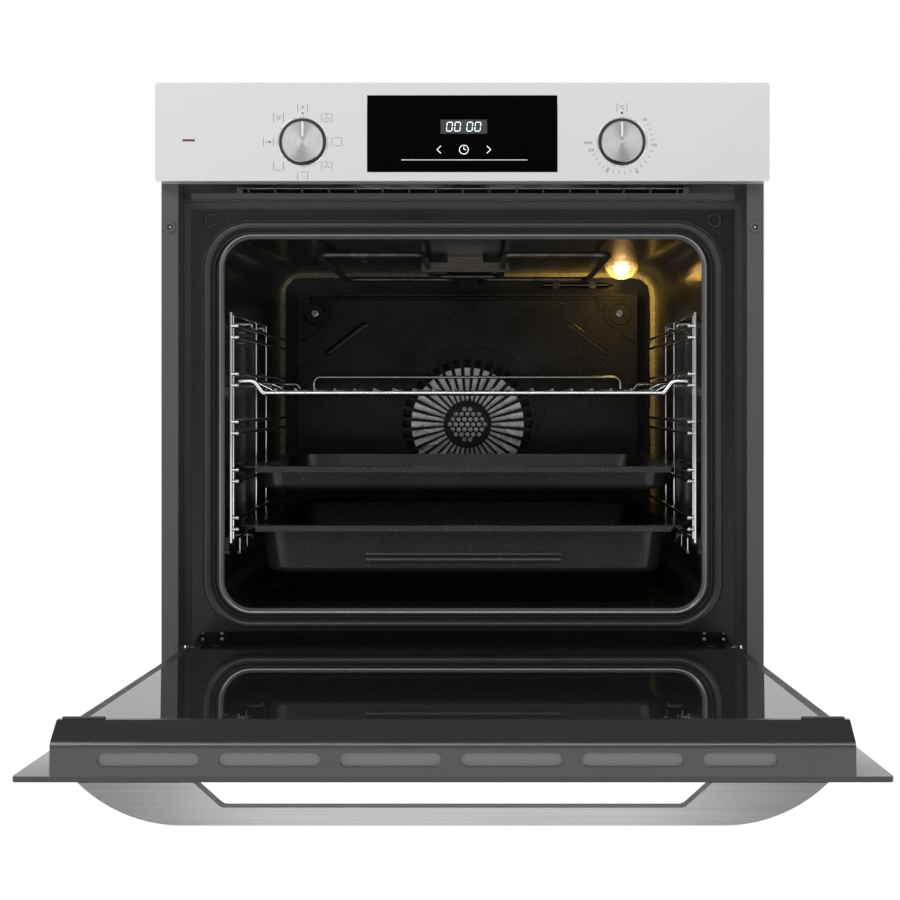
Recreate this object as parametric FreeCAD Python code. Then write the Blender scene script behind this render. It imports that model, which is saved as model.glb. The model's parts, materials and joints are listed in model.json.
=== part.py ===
"""Built-in oven with a drop-down door, as an assembly of separate pieces.

Millimetres. X to the right, Y into the cabinet, Z up. The origin is on the underside
of the base, in the middle of the oven's width, on the plane of the cabinet's front.
Every door piece is drawn with the door shut and then swung open about the hinge pin.
"""
import FreeCAD, Part
import math
import os

os.makedirs("parts", exist_ok=True)

Vector = FreeCAD.Vector
X_AXIS = Vector(1, 0, 0)
Y_AXIS = Vector(0, 1, 0)
Z_AXIS = Vector(0, 0, 1)

# ---------------------------------------------------------------- driving dimensions
# Front
front_width = 595.0
front_height = 595.0
front_depth = 22.0  # the door and the fascia stand this far in front of the cabinet
fascia_height = 95.4
door_gap = 3.6  # between the shut door's top edge and the fascia
door_bottom = 22.0
corner_radius = 3.0

# Carcass, the part that goes into the cabinet
front_overlap = 19.5  # the front reaches past the carcass by this on each side
top_overlap = 12.0  # and by this at the top
carcass_depth = 545.0
sheet = 1.0
sheet_gap = 0.3  # between sheets that lie beside each other
base_lip_front = 4.0  # the base reaches this far in front of the cabinet's front
base_lip_height = 14.0
base_lip_start = 45.0
top_lip_width = 12.0
vent_width = 4.0
vent_length = 40.0
top_vent_length = 46.0
top_vent_columns = (-150.0, -90.0, 30.0, 90.0)
side_vent_pitch = 9.0
side_vent_count = 9
side_vent_height = 50.0
back_vent_width = 5.0
back_vent_rows = 20
back_vent_pitch = 20.0
back_screw_inset = 16.0
back_screw_low = 30.0
back_screw_middle = 290.0
back_screw_top = 18.0  # below the carcass's top

# Mains inlet and its terminals
inlet_inset = 64.0  # from the carcass's side
inlet_drop = 43.0  # from the carcass's top
inlet_radius = 11.0
inlet_collar = 3.0
cable_bore = 5.0
terminal_length = 60.0
terminal_depth = 31.0
terminal_height = 30.0
terminal_pitch = 18.0

# Cavity
cavity_side_space = 38.0  # between the cavity and the carcass's side, for the wool
cavity_floor = 78.0
ceiling_space = 38.0  # between the cavity's ceiling and the air duct
back_space = 75.0  # between the cavity's back and the carcass's back
cavity_radius = 30.0
enamel_sheet = 1.2
flange_y = 22.0  # front face of the flange round the cavity's mouth
flange_side_gap = 9.5  # between the flange and the front frame
flange_top_gap = 10.5  # between the flange and the air duct's underside
flange_under_gasket = 17.0
wool_thickness = 28.0
wool_gap = 0.5
wool_front = 14.0  # behind the channels

# Front frame
channel_side_gap = 2.0  # between the carcass's side and the channels
strip_edge_inset = 2.0  # the strips end this far inside the front's edge
strip_thickness = 1.2
strip_bottom = 5.0
strip_top_inset = 6.0
channel_depth = 30.0
mount_inset = 7.0  # from the channel to the mounting screws
mount_drop = 42.2  # below the fascia
mount_hole_radius = 2.6
mount_cup_radius = 5.7
mount_cup_depth = 1.4

# Gasket
gasket_width = 14.0
gasket_height = 8.7
gasket_side_margin = 19.8  # outside the cavity's walls
gasket_top_margin = 16.6
gasket_bottom_margin = 19.0
gasket_radius = 50.0
gasket_round = 3.4
gasket_clearance = 0.3

# Door
hinge_y = -8.0
hinge_rise = 6.0  # the hinge pin lies this far above the door's lower edge
door_open_angle = 88.0
outer_glass_thickness = 4.0
inner_glass_thickness = 4.0
middle_glass_thickness = 4.0
middle_glass_y = -4.0
glass_side_margin = 0.3  # the inner glass ends this far inside the gasket
glass_bottom_margin = 13.0  # and this far below it
glass_top_margin = 6.4
middle_glass_low = 16.0  # above the inner glass's lower edge
middle_glass_high = 11.0  # below its upper edge
door_side_gap = 8.0  # between the door's body and the channel's wall
door_rail_web = 30.0
door_rail_sheet = 1.2
door_rail_rise = 2.0
holder_height = 16.0
trim_face = 22.2
trim_slant_depth = 17.0
trim_slant_rise = 13.0
trim_height = 22.4
trim_wall = 1.8
trim_round = 7.0
trim_slot_height = 9.5
trim_slot_count = 6
trim_slot_margin = 32.0
trim_slot_bridge = 13.3
trim_last_slot = 50.0
trim_last_margin = 53.0
mesh_thickness = 1.2
mesh_width = 14.0

# Handle
handle_inset = 44.5  # from the front's side
handle_sweep = 71.0  # length of each curved end
handle_projection = 28.7
handle_thickness = 12.3
handle_bar = 12.0
handle_window_inset = 6.0
handle_window_slant = 20.0
handle_window_round = 7.0
handle_screw_insets = (27.0, 53.0)

# Hinges
hinge_side = 13.0  # outside the cavity's wall
hinge_arm_thickness = 6.0
hinge_arm_height = 12.0
hinge_cheek = 2.5
hinge_side_gap = 0.5
hinge_pin_radius = 3.0
hinge_box_height = 44.0
pin_running_gap = 0.05
receiver_front = 42.0
receiver_back = 96.0
receiver_wall = 2.0
receiver_gap = 0.3
receiver_roller = 3.0
recess_back = 40.0  # face of the dark sheet behind the door's lower edge

# Knobs
knob_spacing = 309.0
knob_rise = 37.9  # above the fascia's lower edge
knob_radius = 20.0
knob_skirt_inset = 0.4
knob_proud = 2.0  # how far the pushed-in knob stands out of the fascia
knob_travel = 18.0
knob_hidden = 10.0  # stays inside the fascia when the knob is pulled out
knob_disc = 1.6
knob_wall = 2.0
knob_chamfer = 0.7
pointer_width = 1.8
pointer_start = 5.0
pointer_depth = 0.8
well_gap = 0.5
well_wall = 2.2
bezel_width = 1.8
bezel_thickness = 0.8
spindle_radius = 3.0
bracket_y = 9.0

# Display, pilot light and fascia
display_width = 184.0
display_height = 74.0
display_rise = 45.8
display_proud = 0.3
display_box_margin = 10.0
display_box_inset = 6.0
cutout_gap = 0.2
fascia_plate = 3.0
fascia_wall = 2.0
front_round = 0.8
pilot_inset = 32.7
pilot_rise = 39.4
pilot_width = 11.6
pilot_height = 1.6

# Racks and what they carry
rack_wire = 1.6  # radius
rack_rail_inset = 13.5  # from the cavity's wall
rack_post_inset = 7.0
rack_levels = 5
rack_first_rise = 91.3  # first level above the cavity's floor
rack_last_drop = 87.9  # last level below its ceiling
rack_pair_gap = 11.5
rack_end_space = 12.0
rack_front = 32.0
rack_back_gap = 22.0  # between the racks and the fan's cover
rack_posts = (33.0, 46.0, 204.0, 282.0)
rack_foot_posts = (90.0, 140.0)
rack_foot_drop = 16.0
stud_places = (160.0, 250.0)
stud_radius = 3.0
stud_head = 5.0
slide_clearance = 0.3
tray_rail_overlap = 3.5  # the trays' rims reach past the rails' middles
tray_front_y = 42.0
tray_back_gap = 4.0
tray_sheet = 1.2
tray_rim_front = 12.0
tray_lip = 5.0
tray_taper = 0.16
tray_corner = 28.0
tray_floor_round = 7.0
shallow_body_inset = 17.0
shallow_body_height = 24.0
deep_body_inset = 20.0
deep_body_height = 50.0
shelf_wire = 1.5
shelf_frame_wire = 2.5
shelf_rail_overlap = 0.5
shelf_drop = 12.0
shelf_crank = 9.0
shelf_front_inset = 6.0
shelf_cross_pitch = 118.0
shelf_grid_pitch = 20.0
shelf_grid_inset = 23.5
shelf_guard_inset = 12.0

# Convection
fan_offset = 2.8  # the fan's middle above the cover's middle
fan_cover_depth = 36.0
fan_cover_side = 20.4
fan_cover_top_gap = 28.4
fan_cover_rise = 8.0
fan_cover_sheet = 1.0
fan_cover_slope = 5.0
fan_screw_side = 27.1
fan_screw_top = 24.9
fan_screw_bottom = 24.0
fan_slots = 36
fan_slot_inner = 30.0
fan_slot_outer = 82.0
fan_ring_radius = 96.0
fan_inner_ring = 86.0
fan_hub_radius = 27.6
fan_hole_radius = 2.7
fan_hole_pitch = 7.35
fan_wheel_radius = 72.0
fan_wheel_gap = 10.0
fan_wheel_depth = 14.0
fan_blades = 18
ring_heater_radius = 88.0
ring_heater_depth = 23.0
motor_shaft_radius = 4.0
motor_radius = 31.0

# Heating elements, lamp and sensor
heater_tube = 3.3
heater_tail = 22.0  # the tubes' ends behind the cavity's back
heater_end_x = 16.0
heater_hole_gap = 0.2
terminal_room_half = 34.0
grill_drop = 12.5
grill_side = 90.0  # from the cavity's wall
grill_inner_x = 42.0
grill_front = 76.0
grill_back_space = 110.0
grill_turn_space = 62.0
grill_bend = 14.0
grill_bracket_y = 226.0
grill_strap_sheet = 1.5
grill_strap_margin = 1.8
grill_hanger_half = 20.0
lower_front = 100.0
lower_back_space = 70.0
lower_end_x = 20.0
lower_bend = 18.0
lower_room_side = 60.0
lamp_side = 51.0
lamp_back = 98.0
lamp_radius = 20.0
lamp_dome = 15.0
lamp_wall = 2.0
bulb_radius = 9.0
probe_side = 61.0
probe_length = 82.0
probe_drop = 16.0
probe_radius = 3.0
probe_back = 16.0

# Cooling air
duct_drop = 11.6  # the duct's underside below the fascia's lower edge
duct_height = 12.0
duct_side = 18.0
duct_sheet = 0.8
rib_count = 17
rib_width = 1.6
rib_end_space = 8.4
grille_gap = 2.0
blower_back_space = 60.0
blower_radius = 62.0
blower_height = 34.0
blower_sheet = 1.2
blower_blades = 24
blower_wheel_height = 21.0
flue_x = -120.0
flue_back = 170.0
flue_radius = 9.0

# ---------------------------------------------------------------- worked-out places
half_front = front_width / 2
half_carcass = half_front - front_overlap
carcass_height = front_height - top_overlap
fascia_bottom = front_height - fascia_height
fascia_front = -front_depth
door_top = fascia_bottom - door_gap
glass_back = -front_depth + outer_glass_thickness

duct_bottom = fascia_bottom - duct_drop
duct_top = duct_bottom + duct_height
half_cavity = half_carcass - cavity_side_space
cavity_ceiling = duct_bottom - ceiling_space
cavity_back = carcass_depth - back_space
duct_half = half_cavity - duct_side
blower_y = cavity_back - blower_back_space
flue_y = cavity_back - flue_back

strip_inner = half_carcass + channel_side_gap
strip_outer = half_front - strip_edge_inset
strip_top = front_height - strip_top_inset
mount_x = strip_inner + mount_inset
mount_z = fascia_bottom - mount_drop

gasket_half_width = half_cavity + gasket_side_margin
gasket_top = cavity_ceiling + gasket_top_margin
gasket_bottom = cavity_floor - gasket_bottom_margin
half_flange = strip_inner - flange_side_gap
flange_top = duct_bottom - flange_top_gap
flange_bottom = gasket_bottom - flange_under_gasket
hinge_notch_top = gasket_bottom - 3

hinge_centre_x = half_cavity + hinge_side
hinge_z = door_bottom + hinge_rise
half_body = strip_inner - door_side_gap
door_rail_bottom = door_bottom + door_rail_rise
door_inner_face = flange_y - gasket_height - gasket_clearance
inner_glass_half = gasket_half_width - glass_side_margin
inner_glass_bottom = gasket_bottom - glass_bottom_margin
inner_glass_top = gasket_top + glass_top_margin
middle_glass_bottom = inner_glass_bottom + middle_glass_low
middle_glass_top = inner_glass_top - middle_glass_high
trim_slot_start = -half_body + trim_slot_margin
trim_slot_room = 2 * half_body - trim_slot_margin - trim_last_slot - trim_last_margin
trim_slot_pitch = trim_slot_room / (trim_slot_count - 1)
trim_slot_length = trim_slot_pitch - trim_slot_bridge

handle_half_width = half_front - handle_inset
handle_straight = handle_half_width - handle_sweep
handle_window_top = handle_straight - handle_window_inset
handle_window_bottom = handle_window_top - handle_window_slant
handle_screw_z = door_top - handle_thickness / 2
handle_screw_places = [s * (handle_half_width - inset) for s in (-1, 1) for inset in handle_screw_insets]

knob_x = knob_spacing / 2
knob_z = fascia_bottom + knob_rise
knob_well_inner = knob_radius + well_gap
knob_well_outer = knob_well_inner + well_wall
bezel_radius = knob_well_outer + bezel_width
knob_skirt_radius = knob_radius - knob_skirt_inset
knob_length = knob_travel + knob_hidden
display_z = fascia_bottom + display_rise
pilot_x = -half_front + pilot_inset
pilot_z = fascia_bottom + pilot_rise

inlet_x = -half_carcass + inlet_inset
inlet_z = carcass_height - inlet_drop
back_screw_heights = (back_screw_low, back_screw_middle, carcass_height - back_screw_top)
back_screw_x = half_carcass - back_screw_inset
back_screw_places = [(x, z) for x in (-back_screw_x, back_screw_x) for z in back_screw_heights]

fan_cover_y = cavity_back - fan_cover_depth
fan_cover_half = half_cavity - fan_cover_side
fan_cover_bottom = cavity_floor + fan_cover_rise
fan_cover_top = cavity_ceiling - fan_cover_top_gap
fan_z = (fan_cover_bottom + fan_cover_top) / 2 + fan_offset
fan_screw_x = fan_cover_half - fan_screw_side
fan_screw_heights = (fan_cover_bottom + fan_screw_bottom, fan_cover_top - fan_screw_top)
fan_screw_places = [(x, z) for x in (-fan_screw_x, fan_screw_x) for z in fan_screw_heights]
ring_end_z = fan_z + math.sqrt(ring_heater_radius**2 - heater_end_x**2)
grill_z = cavity_ceiling - grill_drop
grill_outer_x = half_cavity - grill_side
heater_holes = [(x, z) for x in (-heater_end_x, heater_end_x) for z in (ring_end_z, grill_z)]
lamp_x = half_cavity - lamp_side
lamp_y = cavity_back - lamp_back
probe_x1 = half_cavity - probe_side
probe_x0 = probe_x1 - probe_length
probe_z = cavity_ceiling - probe_drop
probe_neck_x = probe_x1 + 2 * probe_radius

rack_rail_x = half_cavity - rack_rail_inset
rack_post_x = half_cavity - rack_post_inset
rack_back = fan_cover_y - rack_back_gap
rack_first_upper = cavity_floor + rack_first_rise
rack_last_upper = cavity_ceiling - rack_last_drop
rack_pitch = (rack_last_upper - rack_first_upper) / (rack_levels - 1)
rack_top = rack_last_upper + rack_end_space
rack_bottom = rack_first_upper - rack_pair_gap - rack_end_space
tray_rim_half = rack_rail_x + tray_rail_overlap
tray_back_y = rack_back - tray_back_gap
shelf_side_x = rack_rail_x + shelf_rail_overlap
shelf_grid_half = rack_rail_x - shelf_grid_inset


# ---------------------------------------------------------------- helpers
def box(x0, x1, y0, y1, z0, z1):
    """A block between three pairs of coordinates."""
    return Part.makeBox(x1 - x0, y1 - y0, z1 - z0, Vector(x0, y0, z0))


def rod(radius, start, end):
    """A round bar from one point to another."""
    direction = end.sub(start)
    return Part.makeCylinder(radius, direction.Length, start, direction)


def rod_y(radius, x, z, y0, y1):
    """A round bar along Y."""
    return Part.makeCylinder(radius, y1 - y0, Vector(x, y0, z), Y_AXIS)


def rod_z(radius, x, y, z0, z1):
    """A round bar along Z."""
    return Part.makeCylinder(radius, z1 - z0, Vector(x, y, z0), Z_AXIS)


def ring_y(outer, inner, x, z, y0, y1):
    """A round washer or sleeve along Y."""
    return rod_y(outer, x, z, y0, y1).cut(rod_y(inner, x, z, y0 - 1, y1 + 1))


def plate_y(points, y0, y1):
    """A plate between two Y planes with corners given as (x, z)."""
    corners = [Vector(x, y0, z) for x, z in points]
    wire = Part.makePolygon(corners + corners[:1])
    return Part.Face(wire).extrude(Vector(0, y1 - y0, 0))


def rounded_plate_y(x0, x1, z0, z1, radius, y0, y1):
    """A plate between two Y planes with round corners."""
    block = box(x0, x1, y0, y1, z0, z1)
    edges = [e for e in block.Edges if abs(e.tangentAt(e.FirstParameter).y) > 0.99]
    return block.makeFillet(radius, edges)


def slot_z(x0, x1, y, width, z0, z1):
    """A round-ended slot along X that goes through in Z."""
    r = width / 2
    body = box(x0 + r, x1 - r, y - r, y + r, z0, z1)
    return body.fuse([rod_z(r, x0 + r, y, z0, z1), rod_z(r, x1 - r, y, z0, z1)])


def slot_y(x, z0, z1, width, y0, y1):
    """A round-ended slot along Z that goes through in Y."""
    r = width / 2
    body = box(x - r, x + r, y0, y1, z0 + r, z1 - r)
    return body.fuse([rod_y(r, x, z0 + r, y0, y1), rod_y(r, x, z1 - r, y0, y1)])


def bent_wire(radius, points, bend):
    """A round wire along straight runs joined by tangent arcs."""
    path = [Vector(*p) for p in points]
    edges = []
    start = path[0]
    for before, corner, after in zip(path, path[1:], path[2:]):
        incoming = corner.sub(before).normalize()
        outgoing = after.sub(corner).normalize()
        turn = incoming.getAngle(outgoing)
        setback = bend * math.tan(turn / 2)
        arc_start = corner.sub(Vector(incoming).multiply(setback))
        arc_end = corner.add(Vector(outgoing).multiply(setback))
        inward = outgoing.sub(incoming).normalize()
        middle = corner.add(inward.multiply(bend / math.cos(turn / 2) - bend))
        edges.append(Part.LineSegment(start, arc_start).toShape())
        edges.append(Part.Arc(arc_start, middle, arc_end).toShape())
        start = arc_end
    edges.append(Part.LineSegment(start, path[-1]).toShape())
    spine = Part.Wire(edges)
    first_run = path[1].sub(path[0])
    profile = Part.Wire(Part.makeCircle(radius, path[0], first_run))
    return spine.makePipeShell([profile], True, False)


def screw_y(x, z, y_seat, head_radius, shank_radius, length, outward=-1):
    """A pan-head screw along Y with a cross recess, its head on the seat."""
    head_height = head_radius * 0.55
    y_top = y_seat + outward * head_height
    head = rod_y(head_radius, x, z, min(y_seat, y_top), max(y_seat, y_top))
    rim = [e for e in head.Edges if abs(e.CenterOfMass.y - y_top) < 1e-6]
    head = head.makeFillet(head_height * 0.6, rim)
    y_end = y_seat - outward * length
    shank = rod_y(shank_radius, x, z, min(y_seat, y_end), max(y_seat, y_end))
    y_recess = y_top - outward * head_height * 0.5
    low, high = min(y_top, y_recess) - 0.01, max(y_top, y_recess) + 0.01
    arm, thin = head_radius * 0.55, head_radius * 0.12
    cross = box(x - arm, x + arm, low, high, z - thin, z + thin)
    cross = cross.fuse(box(x - thin, x + thin, low, high, z - arm, z + arm))
    return head.fuse(shank).cut(cross)


def mirror_x(shape):
    """The same piece on the other side of the oven."""
    return shape.mirror(Vector(0, 0, 0), X_AXIS)


def group(shapes):
    """Several separate solids kept in one node."""
    return Part.makeCompound(shapes)


def save(name, shape):
    """Writes one node."""
    shape.exportStep("parts/" + name + ".step")


def save_door(name, shape):
    """Writes one node of the door, swung open from its shut place."""
    opened = shape.copy()
    opened.rotate(Vector(0, hinge_y, hinge_z), X_AXIS, door_open_angle)
    save(name, opened)


# ---------------------------------------------------------------- carcass
def base_plate():
    """Floor of the carcass, with lips up its sides and back and cooling slots."""
    inner = half_carcass - sheet - sheet_gap
    plate = box(-inner, inner, -base_lip_front, carcass_depth, 0, sheet)
    lip = base_lip_height
    sides = [box(inner - sheet, inner, base_lip_start, carcass_depth, sheet, lip)]
    sides.append(mirror_x(sides[0]))
    sides.append(box(-inner + sheet, inner - sheet, carcass_depth - sheet, carcass_depth, sheet, lip))
    plate = plate.fuse(sides)
    slots = []
    for x in range(-210, 200, 60):
        for y in (140, 160, 180):
            slots.append(slot_z(x, x + vent_length, y, vent_width, -1, sheet + 1))
    return plate.cut(group(slots))


def side_panel():
    """Right-hand side sheet with cooling slots and a top lip."""
    bottom = sheet + sheet_gap
    top = carcass_height - sheet - sheet_gap
    front = channel_depth + sheet + sheet_gap
    panel = box(half_carcass - sheet, half_carcass, front, carcass_depth, bottom, top)
    lip = box(half_carcass - top_lip_width, half_carcass - sheet, front, carcass_depth, top - sheet, top)
    panel = panel.fuse(lip)
    inside, outside = half_carcass - 2 * sheet, half_carcass + 1
    low_first, low_bottom, low_top = 60, 20, 50
    high_first = carcass_depth - 105
    slots = []
    for i in range(side_vent_count):
        y = high_first + side_vent_pitch * i
        slots.append(box(inside, outside, y, y + vent_width, duct_top, duct_top + side_vent_height))
        y = low_first + side_vent_pitch * i
        slots.append(box(inside, outside, y, y + vent_width, low_bottom, low_top))
    return panel.cut(group(slots))


def top_cover():
    """Top sheet with air slots above the blower and the switches."""
    inner = half_carcass - sheet_gap
    front = channel_depth + sheet + sheet_gap
    cover = box(-inner, inner, front, carcass_depth, carcass_height - sheet, carcass_height)
    rows = [carcass_depth - 15 - 10 * i for i in range(1, 8)]
    front_row = 120
    low, high = carcass_height - 2 * sheet, carcass_height + 1
    slots = []
    for y in rows + [front_row]:
        for x in top_vent_columns:
            slots.append(slot_z(x, x + top_vent_length, y, vent_width, low, high))
    return cover.cut(group(slots))


def back_cover():
    """Rear sheet with a ring of slots behind the fan motor and a hole for the cable inlet."""
    inner = half_carcass - sheet_gap
    low = sheet + sheet_gap
    high = carcass_height - sheet - sheet_gap
    y = carcass_depth + sheet_gap
    cover = box(-inner, inner, y, y + sheet, low, high)
    holes = [rod_y(inlet_radius + sheet_gap, inlet_x, inlet_z, y - 1, y + 2)]
    ring_count, ring_inner, ring_outer = 12, 24, 48
    for i in range(ring_count):
        slot = slot_y(0, fan_z + ring_inner, fan_z + ring_outer, back_vent_width, y - 1, y + 2)
        slot.rotate(Vector(0, 0, fan_z), Y_AXIS, 360 / ring_count * i)
        holes.append(slot)
    for i in range(back_vent_rows):
        x = inlet_x + 2 * inlet_radius + 12 + back_vent_pitch * i
        holes.append(slot_y(x, inlet_z - 20, inlet_z + 20, back_vent_width, y - 1, y + 2))
    for x, z in back_screw_places:
        holes.append(rod_y(1.9, x, z, y - 1, y + 2))
    return cover.cut(group(holes))


def back_screws():
    """Self-tapping screws that hold the back cover."""
    y = carcass_depth + sheet_gap + sheet
    return group([screw_y(x, z, y, 3.8, 1.8, 8, 1) for x, z in back_screw_places])


def cable_inlet():
    """Strain-relief bush for the mains lead, with its own bore for the cable."""
    y = carcass_depth + sheet_gap
    bush = rod_y(inlet_radius, inlet_x, inlet_z, y - 8, y + sheet)
    collar = rod_y(inlet_radius + inlet_collar, inlet_x, inlet_z, y + sheet, y + sheet + 6)
    return bush.fuse(collar).cut(rod_y(cable_bore, inlet_x, inlet_z, y - 10, y + 10))


def terminal_block():
    """Moulded block with three brass-lined wire ways, inside the back."""
    x0, y1 = inlet_x + 30, carcass_depth - sheet
    y0 = y1 - terminal_depth
    half = terminal_height / 2
    block = box(x0, x0 + terminal_length, y0, y1, inlet_z - half, inlet_z + half)
    upright = [e for e in block.Edges if abs(e.tangentAt(e.FirstParameter).z) > 0.99]
    block = block.makeFillet(2, upright)
    middle = x0 + terminal_length / 2
    way_depth = 20
    ways = []
    for i in (-1, 0, 1):
        ways.append(rod_y(3, middle + terminal_pitch * i, inlet_z, y0 - 1, y0 + way_depth))
    return block.cut(group(ways))


# ---------------------------------------------------------------- front frame
def front_frame():
    """Side strips that rest on the cabinet, with the channels behind the door's edges."""
    top = strip_top
    strip = box(strip_inner - sheet, strip_outer, -strip_thickness, 0, strip_bottom, top)
    strip = strip.fuse(rod_y(mount_cup_radius, mount_x, mount_z, -strip_thickness - mount_cup_depth, 0))
    strip = strip.cut(rod_y(mount_hole_radius, mount_x, mount_z, -5, 5))
    wall = box(strip_inner - sheet, strip_inner, 0, channel_depth + sheet, strip_bottom, top)
    floor_inner = half_flange + sheet_gap
    floor = box(floor_inner, strip_inner, channel_depth, channel_depth + sheet, flange_bottom, top)
    side = strip.fuse([wall, floor])
    cross_bottom = flange_top + sheet_gap + 0.2
    back, shelf_top = channel_depth + sheet, duct_bottom - 1
    cross = box(-strip_inner, strip_inner, channel_depth, back, cross_bottom, shelf_top)
    shelf = box(-strip_inner, strip_inner, flange_y, back, shelf_top - sheet, shelf_top)
    sill = box(-strip_inner, strip_inner, -strip_thickness, 0, strip_bottom, door_bottom - 3)
    return side.fuse([mirror_x(side), cross, shelf, sill]).removeSplitter()


def lower_panel():
    """Dark sheet at the back of the recess that the door's lower edge swings through."""
    y = recess_back
    half = half_flange - sheet
    top = hinge_notch_top + 4
    panel = box(-half, half, y, y + sheet, sheet + sheet_gap, top)
    shelf = box(-half, half, flange_y + 2, y, top - sheet, top)
    panel = panel.fuse(shelf)
    for x in (-hinge_centre_x, hinge_centre_x):
        panel = panel.cut(box(x - 6, x + 6, y - 2, y + 2, hinge_z - 16, hinge_z + 12))
    return panel


def cavity_liner():
    """One-piece enamelled cavity: rounded box, flange round the mouth, and its holes."""
    t = enamel_sheet
    back = cavity_back + t
    outside = (-half_cavity - t, half_cavity + t, cavity_floor - t, cavity_ceiling + t, cavity_radius + t)
    outer = rounded_plate_y(*outside, flange_y, back)
    flange = box(-half_flange, half_flange, flange_y, flange_y + t, flange_bottom, flange_top)
    inside = (-half_cavity, half_cavity, cavity_floor, cavity_ceiling, cavity_radius)
    hollow = rounded_plate_y(*inside, flange_y - 1, cavity_back)
    liner = outer.fuse(flange).cut(hollow)
    near, far = flange_y - 1, flange_y + t + 1
    relief = box(-half_cavity, half_cavity, near, far, flange_bottom - 1, gasket_bottom - 2)
    notch_corners = [
        (half_cavity - 1, flange_bottom - 1),
        (half_cavity - 1, hinge_notch_top),
        (hinge_centre_x + 8, hinge_notch_top),
        (hinge_centre_x + 14, flange_bottom - 1),
    ]
    notch = plate_y(notch_corners, near, far)
    liner = liner.cut([relief, notch, mirror_x(notch)])
    holes = [rod_z(lamp_radius - 2, lamp_x, lamp_y, cavity_ceiling - 2, cavity_ceiling + 4)]
    holes.append(rod_y(motor_shaft_radius + 2, 0, fan_z, cavity_back - 1, back + 1))
    for x, z in heater_holes:
        holes.append(rod_y(heater_tube + heater_hole_gap, x, z, cavity_back - 1, back + 1))
    holes.append(rod_z(flue_radius, flue_x, flue_y, cavity_ceiling - 2, cavity_ceiling + 4))
    holes.append(rod_y(2.2, probe_neck_x, probe_z, cavity_back - 1, back + 1))
    for x, z in fan_screw_places:
        holes.append(rod_y(1.8, x, z, cavity_back - 1, back + 1))
    return liner.cut(group(holes)).removeSplitter()


def door_gasket():
    """Soft black seal round the mouth, with a rounded front."""
    y0 = flange_y - gasket_height
    outer = rounded_plate_y(
        -gasket_half_width, gasket_half_width, gasket_bottom, gasket_top, gasket_radius, y0, flange_y
    )
    w = gasket_width
    inner = rounded_plate_y(
        -gasket_half_width + w,
        gasket_half_width - w,
        gasket_bottom + w * 0.6,
        gasket_top - w,
        gasket_radius - w,
        y0 - 1,
        flange_y + 1,
    )
    ring = outer.cut(inner)
    front_edges = [e for e in ring.Edges if abs(e.BoundBox.YMax - y0) < 0.01]
    return ring.makeFillet(gasket_round, front_edges)


def insulation():
    """Mineral-wool jacket round the cavity, open at the front and cut for the fittings."""
    t = enamel_sheet + wool_gap
    thick = wool_thickness
    front = channel_depth + wool_front
    jacket = box(
        -half_cavity - thick,
        half_cavity + thick,
        front,
        cavity_back + thick,
        cavity_floor - thick,
        cavity_ceiling + thick,
    )
    core = rounded_plate_y(
        -half_cavity - t,
        half_cavity + t,
        cavity_floor - t,
        cavity_ceiling + t,
        cavity_radius + t,
        front - 1,
        cavity_back + t,
    )
    room = half_cavity - lower_room_side
    room_low = cavity_floor - t - 2 * heater_tube - 6
    element_room = box(-room, room, lower_front - 20, cavity_back + thick + 1, room_low, cavity_floor)
    holes = [core, element_room]
    holes.append(rod_z(lamp_radius + 6, lamp_x, lamp_y, cavity_ceiling - 2, cavity_ceiling + thick + 2))
    holes.append(rod_y(motor_radius + 3, 0, fan_z, cavity_back - 1, cavity_back + thick + 2))
    holes.append(rod_z(flue_radius + 3, flue_x, flue_y, cavity_ceiling - 2, cavity_ceiling + thick + 2))
    half = terminal_room_half
    for z in (ring_end_z, grill_z):
        holes.append(box(-half, half, cavity_back - 1, cavity_back + thick + 2, z - 12, z + 12))
    holes.append(rod_y(5, probe_neck_x, probe_z, cavity_back - 1, cavity_back + thick + 2))
    for x, z in fan_screw_places:
        holes.append(rod_y(5, x, z, cavity_back - 1, cavity_back + 14))
    return jacket.cut(group(holes))


# ---------------------------------------------------------------- cooling air
def air_duct():
    """Flat duct over the cavity, with the flue, that takes air to the slot under the fascia."""
    t = duct_sheet
    front = channel_depth + sheet + 0.5
    back = blower_y + 40
    outer = box(-duct_half, duct_half, front, back, duct_bottom, duct_top)
    inner = box(-duct_half + t, duct_half - t, front - 1, back - t, duct_bottom + t, duct_top - t)
    duct = outer.cut(inner)
    duct = duct.cut(rod_z(blower_radius - 14, 0, blower_y, duct_top - 2, duct_top + 1))
    duct = duct.cut(rod_z(flue_radius, flue_x, flue_y, duct_bottom - 1, duct_bottom + 2))
    return duct.fuse(exhaust_flue())


def exhaust_flue():
    """Short tube that lets steam out of the cavity into the cooling air."""
    low = cavity_ceiling + enamel_sheet
    tube = rod_z(flue_radius + 1, flue_x, flue_y, low, duct_bottom)
    collar = rod_z(flue_radius + 2.5, flue_x, flue_y, low, low + 2)
    return tube.fuse(collar).cut(rod_z(flue_radius, flue_x, flue_y, low - 1, duct_bottom + 1))


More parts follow.
